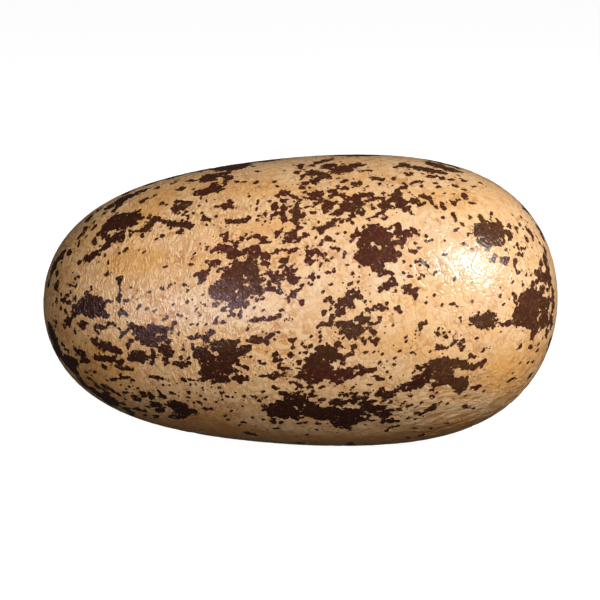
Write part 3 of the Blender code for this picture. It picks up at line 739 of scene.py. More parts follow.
@dataclass(frozen=True)
class Viewpoint:
    """The photo's camera: a long lens, looking along +Y and down on the egg."""

    aim: tuple[float, float, float]
    elevation_deg: float = 14.0
    distance: float = 0.5208
    lens_mm: float = 100.0
    sensor_mm: float = 36.0
    side_px: float = 600.0

    def axes(self) -> np.ndarray:
        """Rows: the directions to the right, up and back towards the camera."""
        lift = math.radians(self.elevation_deg)
        return np.array([
            [1.0, 0.0, 0.0],
            [0.0, math.sin(lift), math.cos(lift)],
            [0.0, -math.cos(lift), math.sin(lift)],
        ])

    def place(self) -> np.ndarray:
        """Where the camera stands."""
        return np.array(self.aim) + self.distance * self.axes()[2]

    def pixels(self, points: np.ndarray) -> np.ndarray:
        """The photo's pixels, across and down, that show the points."""
        seen = (points - self.place()) @ self.axes().T
        scale = self.side_px * self.lens_mm / self.sensor_mm / -seen[:, 2]
        middle = self.side_px / 2
        return np.stack([middle + seen[:, 0] * scale, middle - seen[:, 1] * scale], axis=1)

    def pixel_slopes(self, points: np.ndarray, directions: np.ndarray) -> np.ndarray:
        """How many pixels across and down each point moves for a metre along its direction."""
        step = 1e-5
        return (self.pixels(points + directions * step) - self.pixels(points)) / step

    def towards(self, points: np.ndarray) -> np.ndarray:
        """The direction from each point to the camera."""
        return normalised(self.place() - points)

    def make_camera(self) -> None:
        """Puts the camera in the scene."""
        data = bpy.data.cameras.new("photo_camera")
        data.lens = self.lens_mm
        data.sensor_width = self.sensor_mm
        data.clip_start = 0.05
        data.clip_end = 20.0
        camera = bpy.data.objects.new("photo_camera", data)
        camera.matrix_world = Matrix.Translation(self.place()) @ Matrix(self.axes().T.tolist()).to_4x4()
        bpy.context.scene.collection.objects.link(camera)
        bpy.context.scene.camera = camera


@dataclass(frozen=True)
class Surface:
    """The smooth form of the shell: points, cells of four points each, and directions out of it."""

    points: np.ndarray
    cells: np.ndarray
    outward: np.ndarray

    @classmethod
    def through(cls, points: np.ndarray, cells: np.ndarray) -> "Surface":
        """Makes a surface. Outward at a point is the sum of the cross products of the diagonals of
        the cells round it."""
        corners = points[cells]
        facing = np.cross(corners[:, 2] - corners[:, 0], corners[:, 3] - corners[:, 1])
        total = np.zeros_like(points)
        for k in range(4):
            np.add.at(total, cells[:, k], facing)
        return cls(points, cells, normalised(total))

    def facing(self, view: Viewpoint) -> np.ndarray:
        """How squarely each point faces the camera: 1 straight on, 0 on the outline, negative behind."""
        return (self.outward * view.towards(self.points)).sum(axis=1)

    def shown_at(self, view: Viewpoint, pixels: np.ndarray) -> np.ndarray:
        """The index of the point that shows nearest to each pixel."""
        least_facing = 0.12
        shown = np.flatnonzero(self.facing(view) > least_facing)
        seen = view.pixels(self.points[shown])
        return np.array([shown[np.argmin(((seen - pixel) ** 2).sum(axis=1))] for pixel in pixels])

    def plane_axes(self, view: Viewpoint, index: np.ndarray) -> tuple[np.ndarray, np.ndarray]:
        """Two directions square to each other in the planes that touch the surface at some points."""
        along = normalised(np.cross(view.axes()[1], self.outward[index]))
        return along, np.cross(self.outward[index], along)

    def mirrored(self, view: Viewpoint, pixel: tuple[float, float]) -> tuple[np.ndarray, np.ndarray]:
        """The place that shows at a pixel, and the direction that it mirrors to the camera."""
        index = self.shown_at(view, np.array([pixel]))[0]
        out, seen = self.outward[index], view.towards(self.points[index])
        return self.points[index], 2 * (out @ seen) * out - seen


@dataclass
class Spots:
    """Ovals of paint on the shell, each in the plane that touches the shell at its middle.

    The traits are, for each, its pigment and the depth of its paint, which is painted shade.
    """

    middle: np.ndarray
    along: np.ndarray
    across: np.ndarray
    form: np.ndarray
    traits: np.ndarray

    def radius(self) -> np.ndarray:
        """The mean radius of each oval in millimetres."""
        return np.linalg.det(self.form) ** -0.25

    def joined(self, other: "Spots") -> "Spots":
        """These ovals and others."""
        mine, theirs = vars(self), vars(other)
        return Spots(*(np.concatenate([mine[name], theirs[name]]) for name in mine))

    def spread_over(self, points: np.ndarray) -> tuple[np.ndarray, np.ndarray]:
        """Works out how far every point lies outside the ovals, and what paint is nearest to it.

        An oval's form F makes s = sqrt(p F p) equal 1 on its rim, so a point p in its plane
        lies about d = s (s - 1) / |F p| outside it. With w = e to the minus d over a blending
        width, all ovals together have minus that width times the logarithm of the sum of w,
        and the traits are the mean of theirs, weighted by w.

        Args:
            points: The shell's points.

        Returns:
            The distances in millimetres, negative inside; and for each point the traits, and
            the radius of the nearest ovals last.
        """
        far, blend = 6.0, 0.3
        traits = np.column_stack([self.traits, self.radius()])
        weight = np.full(len(points), math.exp(-far / blend))
        anywhere_else = np.array([Pigment.CHOCOLATE.value, 0.5, 0.3])
        total = weight[:, None] * anywhere_else
        for k, form in enumerate(self.form):
            reach = 1.0 / math.sqrt(np.linalg.eigvalsh(form)[0])
            offset = (points - self.middle[k]) / MM
            gap = np.sqrt((offset * offset).sum(axis=1))
            near = np.flatnonzero(gap < 1.4 * reach + far / 2)
            flat = np.stack([offset[near] @ self.along[k], offset[near] @ self.across[k]], axis=1)
            flat *= (gap[near] / np.maximum(np.linalg.norm(flat, axis=1), 1e-9))[:, None]
            pulled = flat @ form
            size = np.sqrt((flat * pulled).sum(axis=1)) + 1e-6
            outside = size * (size - 1.0) / (np.linalg.norm(pulled, axis=1) + 1e-6)
            share = np.exp(np.clip(-outside / blend, -20.0, 30.0))
            weight[near] += share
            total[near] += share[:, None] * traits[k]
        return -blend * np.log(weight), total / weight[:, None]


@dataclass
class EggShell:
    """The egg's surface, in one piece, and the paint on it.

    Its form is the stone's: at a share t of the way from the middle to a tip, the radius is
    an ellipse's times 1 + bluntness t + fullness t squared, and the whole swells and sinks
    a little in long waves.
    """

    length: float = 0.160
    middle_radius: float = 0.0448
    bluntness: float = 0.110
    fullness: float = 0.2615
    lean_deg: float = 1.04
    unevenness: float = 0.004
    cells_long: int = 192
    cells_round: int = 100
    wrinkle_height: float = 0.00012
    fold_height: float = 0.00022
    snapped_radius_mm: float = 0.55
    longest_mm: float = 16.0
    furthest_moved_mm: float = 1.5

    def lattice(self) -> tuple[np.ndarray, np.ndarray, np.ndarray]:
        """Covers a box with square cells, for its points to be drawn out onto the egg.

        Each of the six faces is a grid of two whole-number parameters. Points that faces share
        along the box's edges are one point.

        Returns:
            The points' whole-number places, the cells as four points each, and each cell
            corner's place on the texture sheet, where the faces lie in three columns and two rows.
        """
        sizes = np.array([self.cells_long, self.cells_round, self.cells_round])
        margin = 0.004
        places, cells, sheet = [], [], []
        started = 0
        for face, (axis, side) in enumerate(itertools.product(range(3), (0, 1))):
            first, second = [(1, 2), (2, 0), (0, 1)][axis]
            if side == 0:
                first, second = second, first
            i, j = np.meshgrid(np.arange(sizes[first] + 1), np.arange(sizes[second] + 1), indexing="ij")
            grid = np.empty((i.size, 3), np.int64)
            grid[:, axis] = sizes[axis] * side
            grid[:, first] = i.ravel()
            grid[:, second] = j.ravel()
            width = sizes[second] + 1
            corner = (i[:-1, :-1] * width + j[:-1, :-1]).ravel() + started
            cells.append(np.stack([corner, corner + width, corner + width + 1, corner + 1], axis=1))
            share = np.stack([i.ravel() / sizes[first], j.ravel() / sizes[second]], axis=1)
            if sizes[first] > sizes[second]:
                share = share[:, ::-1]
            cell = np.array([1 / 3, 1 / 2])
            low = np.array([face % 3, face // 3]) * cell + margin
            sheet.append(low + share * (cell - 2 * margin))
            places.append(grid)
            started += i.size
        places, cells, sheet = map(np.concatenate, (places, cells, sheet))
        unique, back = np.unique(places, axis=0, return_inverse=True)
        return unique, back.ravel()[cells], sheet[cells]

    def directions(self, places: np.ndarray) -> np.ndarray:
        """Turns places on the box into directions: tan of 45 degrees times each place, from -1 to 1."""
        sizes = np.array([self.cells_long, self.cells_round, self.cells_round])
        return normalised(np.tan(math.pi / 4 * (2.0 * places / sizes - 1.0)))

    def smooth_form(self, unit: np.ndarray) -> np.ndarray:
        """Carries directions, whose first number points along the egg, to the smooth egg.

        Each of three waves adds the sine of a fixed vector times the direction.
        """
        waves = ((4.1, 2.3, 1.2, 0.4), (-2.2, 3.9, 3.1, 2.1), (1.7, -3.3, 5.2, 4.4))
        t = unit[:, 0]
        thickness = self.middle_radius * (1 + self.bluntness * t + self.fullness * t * t)
        points = np.stack([self.length / 2 * t, thickness * unit[:, 1], thickness * unit[:, 2]], axis=1)
        turned = unit[:, [1, 2, 0]]
        swell = sum(np.sin(turned @ np.array(wave[:3]) + wave[3]) for wave in waves) / len(waves)
        points = points * (1 + self.unevenness * swell)[:, None]
        lean = math.radians(self.lean_deg)
        turn = np.array([
            [math.cos(lean), 0, math.sin(lean)],
            [0, 1, 0],
            [-math.sin(lean), 0, math.cos(lean)],
        ])
        return points @ turn

    def surface(self) -> tuple[Surface, np.ndarray]:
        """The smooth form, where the egg lies, and its cells' corners on the texture sheet."""
        places, cells, sheet = self.lattice()
        points = self.lay_down(self.smooth_form(self.directions(places)))
        return Surface.through(points, cells), sheet

    @staticmethod
    def lay_down(points: np.ndarray) -> np.ndarray:
        """Sets the egg into the place that its stone has in the frame."""
        low, high = (np.array(corner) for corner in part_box("egg"))
        middle = (points.min(axis=0) + points.max(axis=0)) / 2
        points = points - middle + (low + high) / 2
        points[:, 2] += high[2] - points[:, 2].max()
        return points

    def relief(self, points: np.ndarray) -> np.ndarray:
        """How far the wrinkles stand out of the smooth form.

        Winding ridges are 1 - |2 g| of a grain g that is read at pushed points. Low on the
        blunt end they become folds, drawn out along the egg. Both are sunk by a share of their
        height, so that the smooth form lies between crests and furrows.
        """
        mm = points / MM
        bent = Grain(11).push(mm, spacing=7.0, reach=2.2)
        winding = 1.0 - np.abs(2.0 * Grain(12).at(bent, spacing=3.1))
        swayed = Grain(15).push(mm, spacing=14.0, reach=3.0)
        along = 1.0 - np.abs(2.0 * Grain(14).at(swayed, spacing=(9.0, 2.6, 2.6)))
        patchy = 0.5 + 0.5 * smooth_step(Grain(17).at(mm, spacing=22.0), -0.4, 0.5)
        folded = self.folded(points)
        sunk = 0.4
        low = self.wrinkle_height * patchy * (1 - folded) * (winding - sunk)
        return low + self.fold_height * folded * (along - sunk)

    @staticmethod
    def folded(points: np.ndarray) -> np.ndarray:
        """One where long folds lie, low on the blunt end, and nothing elsewhere."""
        return smooth_step(points[:, 0], 0.004, 0.045) * smooth_step(points[:, 2], 0.038, 0.018)

    @staticmethod
    def rest(points: np.ndarray) -> np.ndarray:
        """Wears the lowest part of the shell down to the flat that it rests on."""
        worn = points.copy()
        worn[:, 2] = np.maximum(points[:, 2], 0.0)
        return worn

    def photo_spots(
        self, view: Viewpoint, surface: Surface, lobes: np.ndarray, traits: np.ndarray
    ) -> Spots:
        """Puts ovals that are given in the photo's pixels onto the shell.

        Each goes to the point of the shell that its middle shows. Its form there is J transposed
        times F times J, with F the oval's form in pixels and J the pixels that a millimetre in
        the shell's plane spans. The smallest stay on a point of the mesh, or they would slip
        between its points.

        Args:
            view: The photo's camera.
            surface: The shell's smooth form.
            lobes: Rows of middle across and down, half length, half width and climb.
            traits: Each oval's pigment and depth of paint, which is painted shade.

        Returns:
            The ovals on the shell.
        """
        index = surface.shown_at(view, lobes[:, :2])
        middle = surface.points[index]
        along, across = surface.plane_axes(view, index)
        slopes = [view.pixel_slopes(middle, axis) for axis in (along, across)]
        jacobian = np.stack(slopes, axis=2) * MM
        seen_form = oval_forms(lobes[:, 2], lobes[:, 3], -lobes[:, 4])
        form = jacobian.transpose(0, 2, 1) @ seen_form @ jacobian
        spots = Spots(middle, along, across, self.kept_small(form), traits)
        short = lobes[:, :2] - view.pixels(middle)
        moved = np.linalg.solve(jacobian, short[:, :, None])[:, :, 0]
        moved = np.clip(moved, -self.furthest_moved_mm, self.furthest_moved_mm) * MM
        moved[spots.radius() < self.snapped_radius_mm] = 0.0
        spots.middle = middle + along * moved[:, :1] + across * moved[:, 1:]
        return spots

    def kept_small(self, form: np.ndarray) -> np.ndarray:
        """Shortens the forms of ovals that are too long, such as some seen edge on."""
        sizes, axes = np.linalg.eigh(form)
        sizes = np.maximum(sizes, self.longest_mm**-2)
        return axes @ (sizes[:, :, None] * axes.transpose(0, 2, 1))

    def far_spots(self, view: Viewpoint, surface: Surface) -> Spots:
        """Strews the side that the photo doesn't show with blotches and marks of the same kinds.

        Args:
            view: The photo's camera.
            surface: The shell's smooth form.

        Returns:
            The ovals on the shell.
        """
        draw = np.random.default_rng(20)
        most_facing, depth, longest = -0.2, 0.4, 2.2
        lean_spread_deg, turn_spread_deg = 35.0, 25.0
        hidden = np.flatnonzero(surface.facing(view) < most_facing)
        pigments = [pigment.value for pigment in STREWN_PIGMENTS]
        rows = []
        for kind in STREWN:
            for spot in draw.choice(hidden, kind.count, replace=False):
                pigment = draw.choice(pigments)
                lean_deg = draw.normal(0.0, lean_spread_deg)
                for _ in range(draw.integers(*kind.ovals)):
                    shift = draw.normal(0.0, kind.scatter_mm, 2) * (1.5, 0.7)
                    radius = draw.uniform(*kind.radius_mm)
                    length = radius * draw.uniform(1.0, longest)
                    turn_deg = lean_deg + draw.normal(0.0, turn_spread_deg)
                    rows.append((spot, *shift, length, radius, turn_deg, pigment))
        rows = np.array(rows)
        index = rows[:, 0].astype(int)
        along, across = surface.plane_axes(view, index)
        middle = surface.points[index] + (along * rows[:, 1:2] + across * rows[:, 2:3]) * MM
        form = oval_forms(rows[:, 3], rows[:, 4], rows[:, 5])
        traits = np.column_stack([rows[:, 6], np.full(len(rows), depth)])
        return Spots(middle, along, across, form, traits)

    def paint(self, view: Viewpoint, surface: Surface) -> dict[str, np.ndarray]:
        """Works out what the paint needs to know at each of the shell's points.

        Args:
            view: The photo's camera.
            surface: The shell's smooth form.

        Returns:
            By name: blotch, the distance outside the nearest blotch in millimetres; pigment;
            depth, how far the paint is darkened as painted shade; bulk, how large that blotch is;
            specks, the share of places that hold a fine speck; ochre, the strength of that staining,
            which along the lower rim is also painted shade; pale, the share of paler cream, painted
            sheen on the near side and an even paler tone on the far side; rust, the strength of the
            brown painted shade along the lower rim and under the egg; and folded and strokes, where
            the wrinkles run along the egg and round it.
        """
        points = surface.points
        lobes, traits = [], []
        for blotch in BLOTCHES:
            lobes += blotch.lobes
            traits += [(blotch.pigment.value, blotch.depth)] * len(blotch.lobes)
            LOG.debug("%s: %d ovals, %s", blotch.name, len(blotch.lobes), blotch.pigment.name)
        spots = self.photo_spots(view, surface, np.array(lobes, float), np.array(traits))
        outside, nearest = spots.joined(self.far_spots(view, surface)).spread_over(points)
        gaps = self.photo_spots(view, surface, np.array(GAPS, float), np.zeros((len(GAPS), 2)))
        bare, _ = gaps.spread_over(points)
        pixels = view.pixels(points)
        # The ochre staining, with painted shade along the lower rim; the brown painted shade; the paler
        # cream of the painted sheen; and places nearly free of specks
        ochre, low_shade, pale, clean = (
            np.minimum(sum_of_ovals(pixels, ovals), 1.0) for ovals in (OCHRE_AND_LOW_SHADE, LOWER_RIM_SHADE, PALE_AND_SHEEN, CLEAN)
        )
        fewest_specks = 0.12
        specks = (fewest_specks + sum_of_ovals(pixels, SPECKLED)) * (1.0 - clean)
        mm = points / MM
        far_specks = fewest_specks + 0.4 * smooth_step(Grain(31).at(mm, 24.0), -0.1, 0.6)
        far_ochre = smooth_step(Grain(32).at(mm, (34.0, 20.0, 20.0)), 0.05, 0.6)
        # Painted shade: browner and darker towards the bottom of the far side
        far_low_shade = 0.6 * smooth_step(points[:, 2], 0.014, 0.0)
        far_pale = 0.3
        seen = smooth_step(surface.facing(view), -0.25, 0.05)
        unseen = 1.0 - seen
        furthest_mm, bulky_mm = 5.0, 2.5
        return {
            "blotch": np.clip(np.maximum(outside, -bare), -furthest_mm, furthest_mm),
            "pigment": nearest[:, 0],
            "depth": nearest[:, 1],
            "bulk": np.clip(nearest[:, 2] / bulky_mm, 0.0, 1.0),
            "specks": seen * specks + unseen * far_specks,
            "ochre": seen * ochre + unseen * far_ochre,
            "pale": seen * pale + unseen * far_pale,
            "low_shade": seen * low_shade + unseen * far_low_shade,
            "folded": self.folded(points),
            "strokes": smooth_step(points[:, 0], 0.010, -0.040),
        }

    def build(self, view: Viewpoint, surface: Surface, sheet: np.ndarray) -> bpy.types.Object:
        """Makes the shell's mesh, with the attributes that its paint reads.

        Args:
            view: The photo's camera.
            surface: The shell's smooth form.
            sheet: Its cells' corners on the texture sheet.

        Returns:
            The shell.
        """
        cells = surface.cells
        relief = self.relief(surface.points)
        points = self.rest(surface.points + surface.outward * relief[:, None])
        mesh = bpy.data.meshes.new("egg_shell")
        mesh.vertices.add(len(points))
        mesh.vertices.foreach_set("co", points.astype(np.float32).ravel())
        mesh.loops.add(cells.size)
        mesh.loops.foreach_set("vertex_index", cells.astype(np.int32).ravel())
        mesh.polygons.add(len(cells))
        mesh.polygons.foreach_set("loop_start", np.arange(0, cells.size, 4, dtype=np.int32))
        mesh.update(calc_edges=True)
        sheet_map = mesh.uv_layers.new(name="OFBake")
        sheet_map.data.foreach_set("uv", sheet.astype(np.float32).ravel())
        values = self.paint(view, surface)
        values["relief"] = relief / self.wrinkle_height
        for name, numbers in values.items():
            attribute = mesh.attributes.new(name, "FLOAT", "POINT")
            attribute.data.foreach_set("value", numbers.astype(np.float32))
        mesh.shade_smooth()
        shell = bpy.data.objects.new("egg_shell", mesh)
        bpy.context.scene.collection.objects.link(shell)
        return shell

    def dress(self, shell: bpy.types.Object) -> None:
        """Paints and varnishes the shell, and lets it stand for the stone."""
        shell.data.materials.append(ShellFinish().material())
        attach(shell, "root")
        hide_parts("egg")


class Value:
    """A number that varies over the surface: a socket whose operators add Math nodes."""

    def __init__(self, sheet: "Sheet", socket: bpy.types.NodeSocket) -> None:
        """Wraps a socket of a sheet's nodes."""
        self.sheet = sheet
        self.socket = socket

    def math(self, operation: str, *others: "Value | float") -> "Value":
        """Adds a Math node with this value first."""
        inputs = dict(enumerate((self, *others)))
        return self.sheet.value("ShaderNodeMath", {"operation": operation}, inputs)

    def __add__(self, other: "Value | float") -> "Value":
        """This plus another."""
        return self.math("ADD", other)

    __radd__ = __add__

    def __sub__(self, other: "Value | float") -> "Value":
        """This less another."""
        return self.math("SUBTRACT", other)

    def __rsub__(self, other: float) -> "Value":
        """A number less this."""
        return self.sheet.value("ShaderNodeMath", {"operation": "SUBTRACT"}, {0: other, 1: self})

    def __mul__(self, other: "Value | float") -> "Value":
        """This times another."""
        return self.math("MULTIPLY", other)

    __rmul__ = __mul__

    def __abs__(self) -> "Value":
        """This without its sign."""
        return self.math("ABSOLUTE")

    def __pow__(self, power: float) -> "Value":
        """This to a power."""
        return self.math("POWER", power)

    def step(self, low: "Value | float", high: "Value | float") -> "Value":
        """Rises smoothly from 0 at low to 1 at high."""
        settings = {"interpolation_type": "SMOOTHSTEP"}
        inputs = {"Value": self, "From Min": low, "From Max": high}
        return self.sheet.value("ShaderNodeMapRange", settings, inputs)


class Sheet:
    """A material's nodes, to which each method adds some."""

    def __init__(self, name: str) -> None:
        """Starts a material that holds only a Principled BSDF and its output."""
        self.material = bpy.data.materials.new(name)
        self.material.use_nodes = True
        self.nodes = self.material.node_tree.nodes
        self.shader = self.nodes["Principled BSDF"]

    def node(
        self, kind: str, settings: dict[str, object], inputs: dict[str | int, object]
    ) -> bpy.types.Node:
        """Adds one node.

        Args:
            kind: The node's type.
            settings: Its properties, and under "stops" a ramp's places and colours.
            inputs: By socket name or number: what it is linked to, or its value.

        Returns:
            The node.
        """
        made = self.nodes.new(kind)
        for name, setting in settings.items():
            if name == "stops":
                self.fill_ramp(made.color_ramp, setting)
            else:
                setattr(made, name, setting)
        for name, source in inputs.items():
            self.feed(made.inputs[name], source)
        return made

    @staticmethod
    def fill_ramp(
        ramp: bpy.types.ColorRamp, stops: tuple[tuple[float, tuple[float, ...]], ...]
    ) -> None:
        """Gives a ramp its stops."""
        while len(ramp.elements) < len(stops):
            ramp.elements.new(0.5)
        for element, (place, colour) in zip(ramp.elements, stops):
            element.position = place
            element.color = (*colour, 1.0)

    def feed(self, socket: bpy.types.NodeSocket, source: object) -> None:
        """Links a socket to a value or a socket, or sets it."""
        if isinstance(source, Value):
            source = source.socket
        if isinstance(source, bpy.types.NodeSocket):
            self.material.node_tree.links.new(source, socket)
        elif isinstance(source, tuple) and len(source) == 3 and socket.type == "RGBA":
            socket.default_value = (*source, 1.0)
        else:
            socket.default_value = source

    def value(
        self,
        kind: str,
        settings: dict[str, object],
        inputs: dict[str | int, object],
        out: str | int = 0,
    ) -> Value:
        """Adds one node and wraps one of its numbers."""
        return Value(self, self.node(kind, settings, inputs).outputs[out])

    def attribute(self, name: str) -> Value:
        """Reads a number of the mesh."""
        return self.value("ShaderNodeAttribute", {"attribute_name": name}, {}, "Fac")

    def place(self, scale: tuple[float, float, float] = (1.0, 1.0, 1.0)) -> bpy.types.NodeSocket:
        """The place on the object in millimetres, times a scale along each axis."""
        coordinates = self.node("ShaderNodeTexCoord", {}, {}).outputs["Object"]
        return self.vector("MULTIPLY", coordinates, tuple(part / MM for part in scale))

    def vector(self, operation: str, *inputs: object) -> bpy.types.NodeSocket:
        """Adds a Vector Math node."""
        settings = {"operation": operation}
        return self.node("ShaderNodeVectorMath", settings, dict(enumerate(inputs))).outputs[0]

    def pushed(
        self, place: bpy.types.NodeSocket, spacing_mm: float, reach_mm: float
    ) -> bpy.types.NodeSocket:
        """Moves a place about, so that what is read there winds."""
        inputs = {"Vector": place, "Scale": 1 / spacing_mm, "Detail": 2.0}
        noise = self.node("ShaderNodeTexNoise", {}, inputs)
        away = self.vector("SUBTRACT", noise.outputs["Color"], (0.5, 0.5, 0.5))
        return self.vector("MULTIPLY_ADD", away, (2.0 * reach_mm,) * 3, place)

    def noise(
        self,
        place: bpy.types.NodeSocket,
        spacing_mm: float,
        detail: float = 3.0,
        rough: float = 0.55,
    ) -> Value:
        """Cloudy variation from 0 to 1, about spacing_mm from cloud to cloud."""
        inputs = {"Vector": place, "Scale": 1 / spacing_mm, "Detail": detail, "Roughness": rough}
        return self.value("ShaderNodeTexNoise", {}, inputs, "Fac")

    def mix(self, share: Value | float, first: object, second: object) -> bpy.types.NodeSocket:
        """Mixes two colours, with a share of the second."""
        inputs = {0: share, 6: first, 7: second}
        return self.node("ShaderNodeMix", {"data_type": "RGBA"}, inputs).outputs[2]


@dataclass(frozen=True)
class ShellFinish:
    """Cream paint with ochre clouds, chocolate blotches and specks, under a clear glossy varnish;
    painted shade, light and sheen are laid into the colours.

    Colours are linear. The stops are the pigments' places on their ramp, with their colours.
    """

    cream: tuple[float, float, float] = (0.88, 0.59, 0.33)
    ochre: tuple[float, float, float] = (0.80, 0.43, 0.14)
    # Paler, greyer cream: on the near side painted sheen of the varnish, on the far side a paler tone
    pale: tuple[float, float, float] = (0.88, 0.655, 0.455)
    # Brown of the painted shade along the lower rim and under the egg
    low_shade: tuple[float, float, float] = (0.56, 0.27, 0.085)
    rose: tuple[float, float, float] = (0.84, 0.55, 0.32)
    # Brown of the grain, and of the furrows, whose wash is partly painted shade
    grain_and_furrow_shade: tuple[float, float, float] = (0.52, 0.22, 0.065)
    # Lighter tint on the wrinkles' crests, partly painted light
    crest_tint_and_light: tuple[float, float, float] = (0.98, 0.76, 0.51)
    stops: tuple[tuple[float, tuple[float, float, float]], ...] = (
        (Pigment.OLIVE.value, (0.098, 0.040, 0.014)),
        (Pigment.UMBER.value, (0.102, 0.033, 0.0135)),
        (Pigment.CHOCOLATE.value, (0.104, 0.0285, 0.013)),
        (Pigment.RUSSET.value, (0.118, 0.0275, 0.015)),
        (Pigment.MAROON.value, (0.145, 0.021, 0.016)),
    )
    thin_paint: tuple[float, float, float] = (0.24, 0.105, 0.06)
    # Painted shade in the furrows of the blotches
    paint_furrow_shade: tuple[float, float, float] = (0.045, 0.013, 0.008)
    # Painted shade: the dark that the paint turns where its blotch lies in shade
    painted_shade_on_paint: tuple[float, float, float] = (0.021, 0.0075, 0.0046)
    varnish_roughness: float = 0.12
    refraction: float = 1.5
    bump_height_mm: float = 0.13
    dab_mm: float = 1.5
    stroke_lean_deg: float = 24.0

    def specks(
        self,
        sheet: Sheet,
        cell_mm: float,
        stretch: tuple[float, float, float],
        push_mm: float,
        thickness: Value,
        largest_mm: float,
    ) -> Value:
        """Strews irregular specks over the shell.

        Each cell of a Voronoi pattern may hold one, of a size drawn from the cell's colour.

        Args:
            sheet: The material's nodes.
            cell_mm: The distance from cell to cell.
            stretch: How much the specks are squeezed along each axis.
            push_mm: How far apart the bends in the specks' outlines are.
            thickness: The share of cells that hold a speck.
            largest_mm: The largest speck's radius.

        Returns:
            One inside the specks and nothing outside.
        """
        place = sheet.pushed(sheet.place(stretch), push_mm, reach_mm=0.4)
        cells = sheet.node("ShaderNodeTexVoronoi", {}, {"Vector": place, "Scale": 1 / cell_mm})
        drawn = sheet.node("ShaderNodeSeparateColor", {}, {0: cells.outputs["Color"]})
        chance, size = Value(sheet, drawn.outputs[0]), Value(sheet, drawn.outputs[1])
        radius = (0.3 + 0.7 * size**2.0) * largest_mm
        inside = (radius - Value(sheet, cells.outputs["Distance"]) * cell_mm).step(-0.05, 0.07)
        return inside * (thickness - chance).step(0.0, 0.01)

    def paint_mask(self, sheet: Sheet) -> Value:
        """Where dark paint lies: blotches with crumbled edges and small bare flecks, and specks.

        A blotch's edge is moved in and out by dabs, each a cell of a Voronoi pattern with a shift
        of its own, and by fine noise. The larger the blotch, the further.
        """
        place = sheet.place()
        blotch, bulk, thickness = (sheet.attribute(name) for name in ("blotch", "bulk", "specks"))
        cells = {"Vector": sheet.pushed(place, 3.0, 0.5), "Scale": 1 / self.dab_mm}
        dabs = sheet.node("ShaderNodeTexVoronoi", {}, cells)
        drawn = sheet.node("ShaderNodeSeparateColor", {}, {0: dabs.outputs["Color"]})
        round_dabs = (Value(sheet, dabs.outputs["Distance"]) - 0.5) * (0.5 + bulk * 1.2)
        shifted_dabs = (Value(sheet, drawn.outputs[0]) - 0.5) * (bulk * 0.6)
        crumbs = (sheet.noise(place, 0.9, detail=2.0, rough=0.5) - 0.5) * (0.8 + bulk * 1.0)
        edge = blotch + (round_dabs + shifted_dabs + crumbs) - 0.12
        body = edge.step(0.08, -0.08)
        flecks = sheet.noise(sheet.pushed(place, 2.0, 0.8), 0.8, detail=1.5, rough=0.5)
        bare = flecks.step(0.69, 0.72) * edge.step(-3.0, -0.2)
        crowded = thickness + blotch.step(2.4, 0.2) * 0.5
        fine = self.specks(sheet, 1.1, (1.0, 0.95, 0.95), 1.0, crowded * 0.74, largest_mm=0.36)
        coarse = self.specks(sheet, 2.3, (0.95, 1.0, 1.0), 1.2, crowded * 0.68, largest_mm=0.72)
        strewn = fine.math("MAXIMUM", coarse)
        return (body * (1.0 - bare * 0.85)).math("MAXIMUM", strewn)

    def ground(self, sheet: Sheet, wrinkles: Value) -> bpy.types.NodeSocket:
        """The shell's colour: cream clouded with ochre and rose, streaked and grainy. It is paler
        where painted sheen lies and browner along the lower rim, which is painted shade. It is
        darker in the furrows and lighter on the crests, partly a wash and tint and partly painted
        shade and light."""
        place = sheet.place()
        clouds = sheet.noise(place, 16.0, detail=4.0, rough=0.6).step(0.46, 0.68)
        uneven = 0.35 + sheet.noise(place, 5.0, detail=4.0, rough=0.65) * 1.2
        # Ochre staining, which along the lower rim is also painted shade
        ochre_and_low_shade = (sheet.attribute("ochre") * uneven).math("MINIMUM", 1.0)
        blush = sheet.noise(sheet.place((0.8, 1.3, 1.1)), 19.0, detail=2.0, rough=0.5).step(0.45, 0.7)
        drawn_out = sheet.pushed(sheet.place((1.0, 0.4, 0.4)), 5.0, 1.2)
        streaks = sheet.noise(drawn_out, 1.4, detail=3.0, rough=0.6).step(0.5, 0.7)
        # Painted shade: brown along the lower rim and under the egg, made patchy by noise
        worn = 0.3 + sheet.noise(place, 3.0, detail=3.0, rough=0.6) * 1.2
        low_shade_share = (sheet.attribute("low_shade") * worn).math("MINIMUM", 0.9)
        # Painted shade in the furrows and painted light on the crests, stronger at the narrow end and on
        # the folds, where the lamps hardly show the wrinkles
        shaded = sheet.attribute("strokes") + sheet.attribute("folded")
        furrow_wash_and_shade = 0.27 + sheet.noise(place, 7.0, detail=2.0).step(0.4, 0.62) * 0.36 + shaded * 0.24
        grainy = sheet.noise(place, 0.55, detail=2.0, rough=0.6).step(0.52, 0.75)
        furrows, crests = wrinkles.step(0.6, 0.05), wrinkles.step(0.7, 1.05)
        # Painted sheen: the cream turns paler and greyer where the varnish's sheen lies
        colour = sheet.mix(sheet.attribute("pale"), self.cream, self.pale)
        layers = (
            (clouds * 0.45, self.ochre), (blush * 0.5, self.rose), (ochre_and_low_shade * 0.95, self.ochre),
            (streaks * 0.45, self.ochre), (low_shade_share, self.low_shade), (grainy * 0.18, self.grain_and_furrow_shade),
            (furrows * furrow_wash_and_shade, self.grain_and_furrow_shade), (crests * (0.42 + shaded * 0.24), self.crest_tint_and_light),
        )
        for share, layer in layers:
            colour = sheet.mix(share, colour, layer)
        return colour

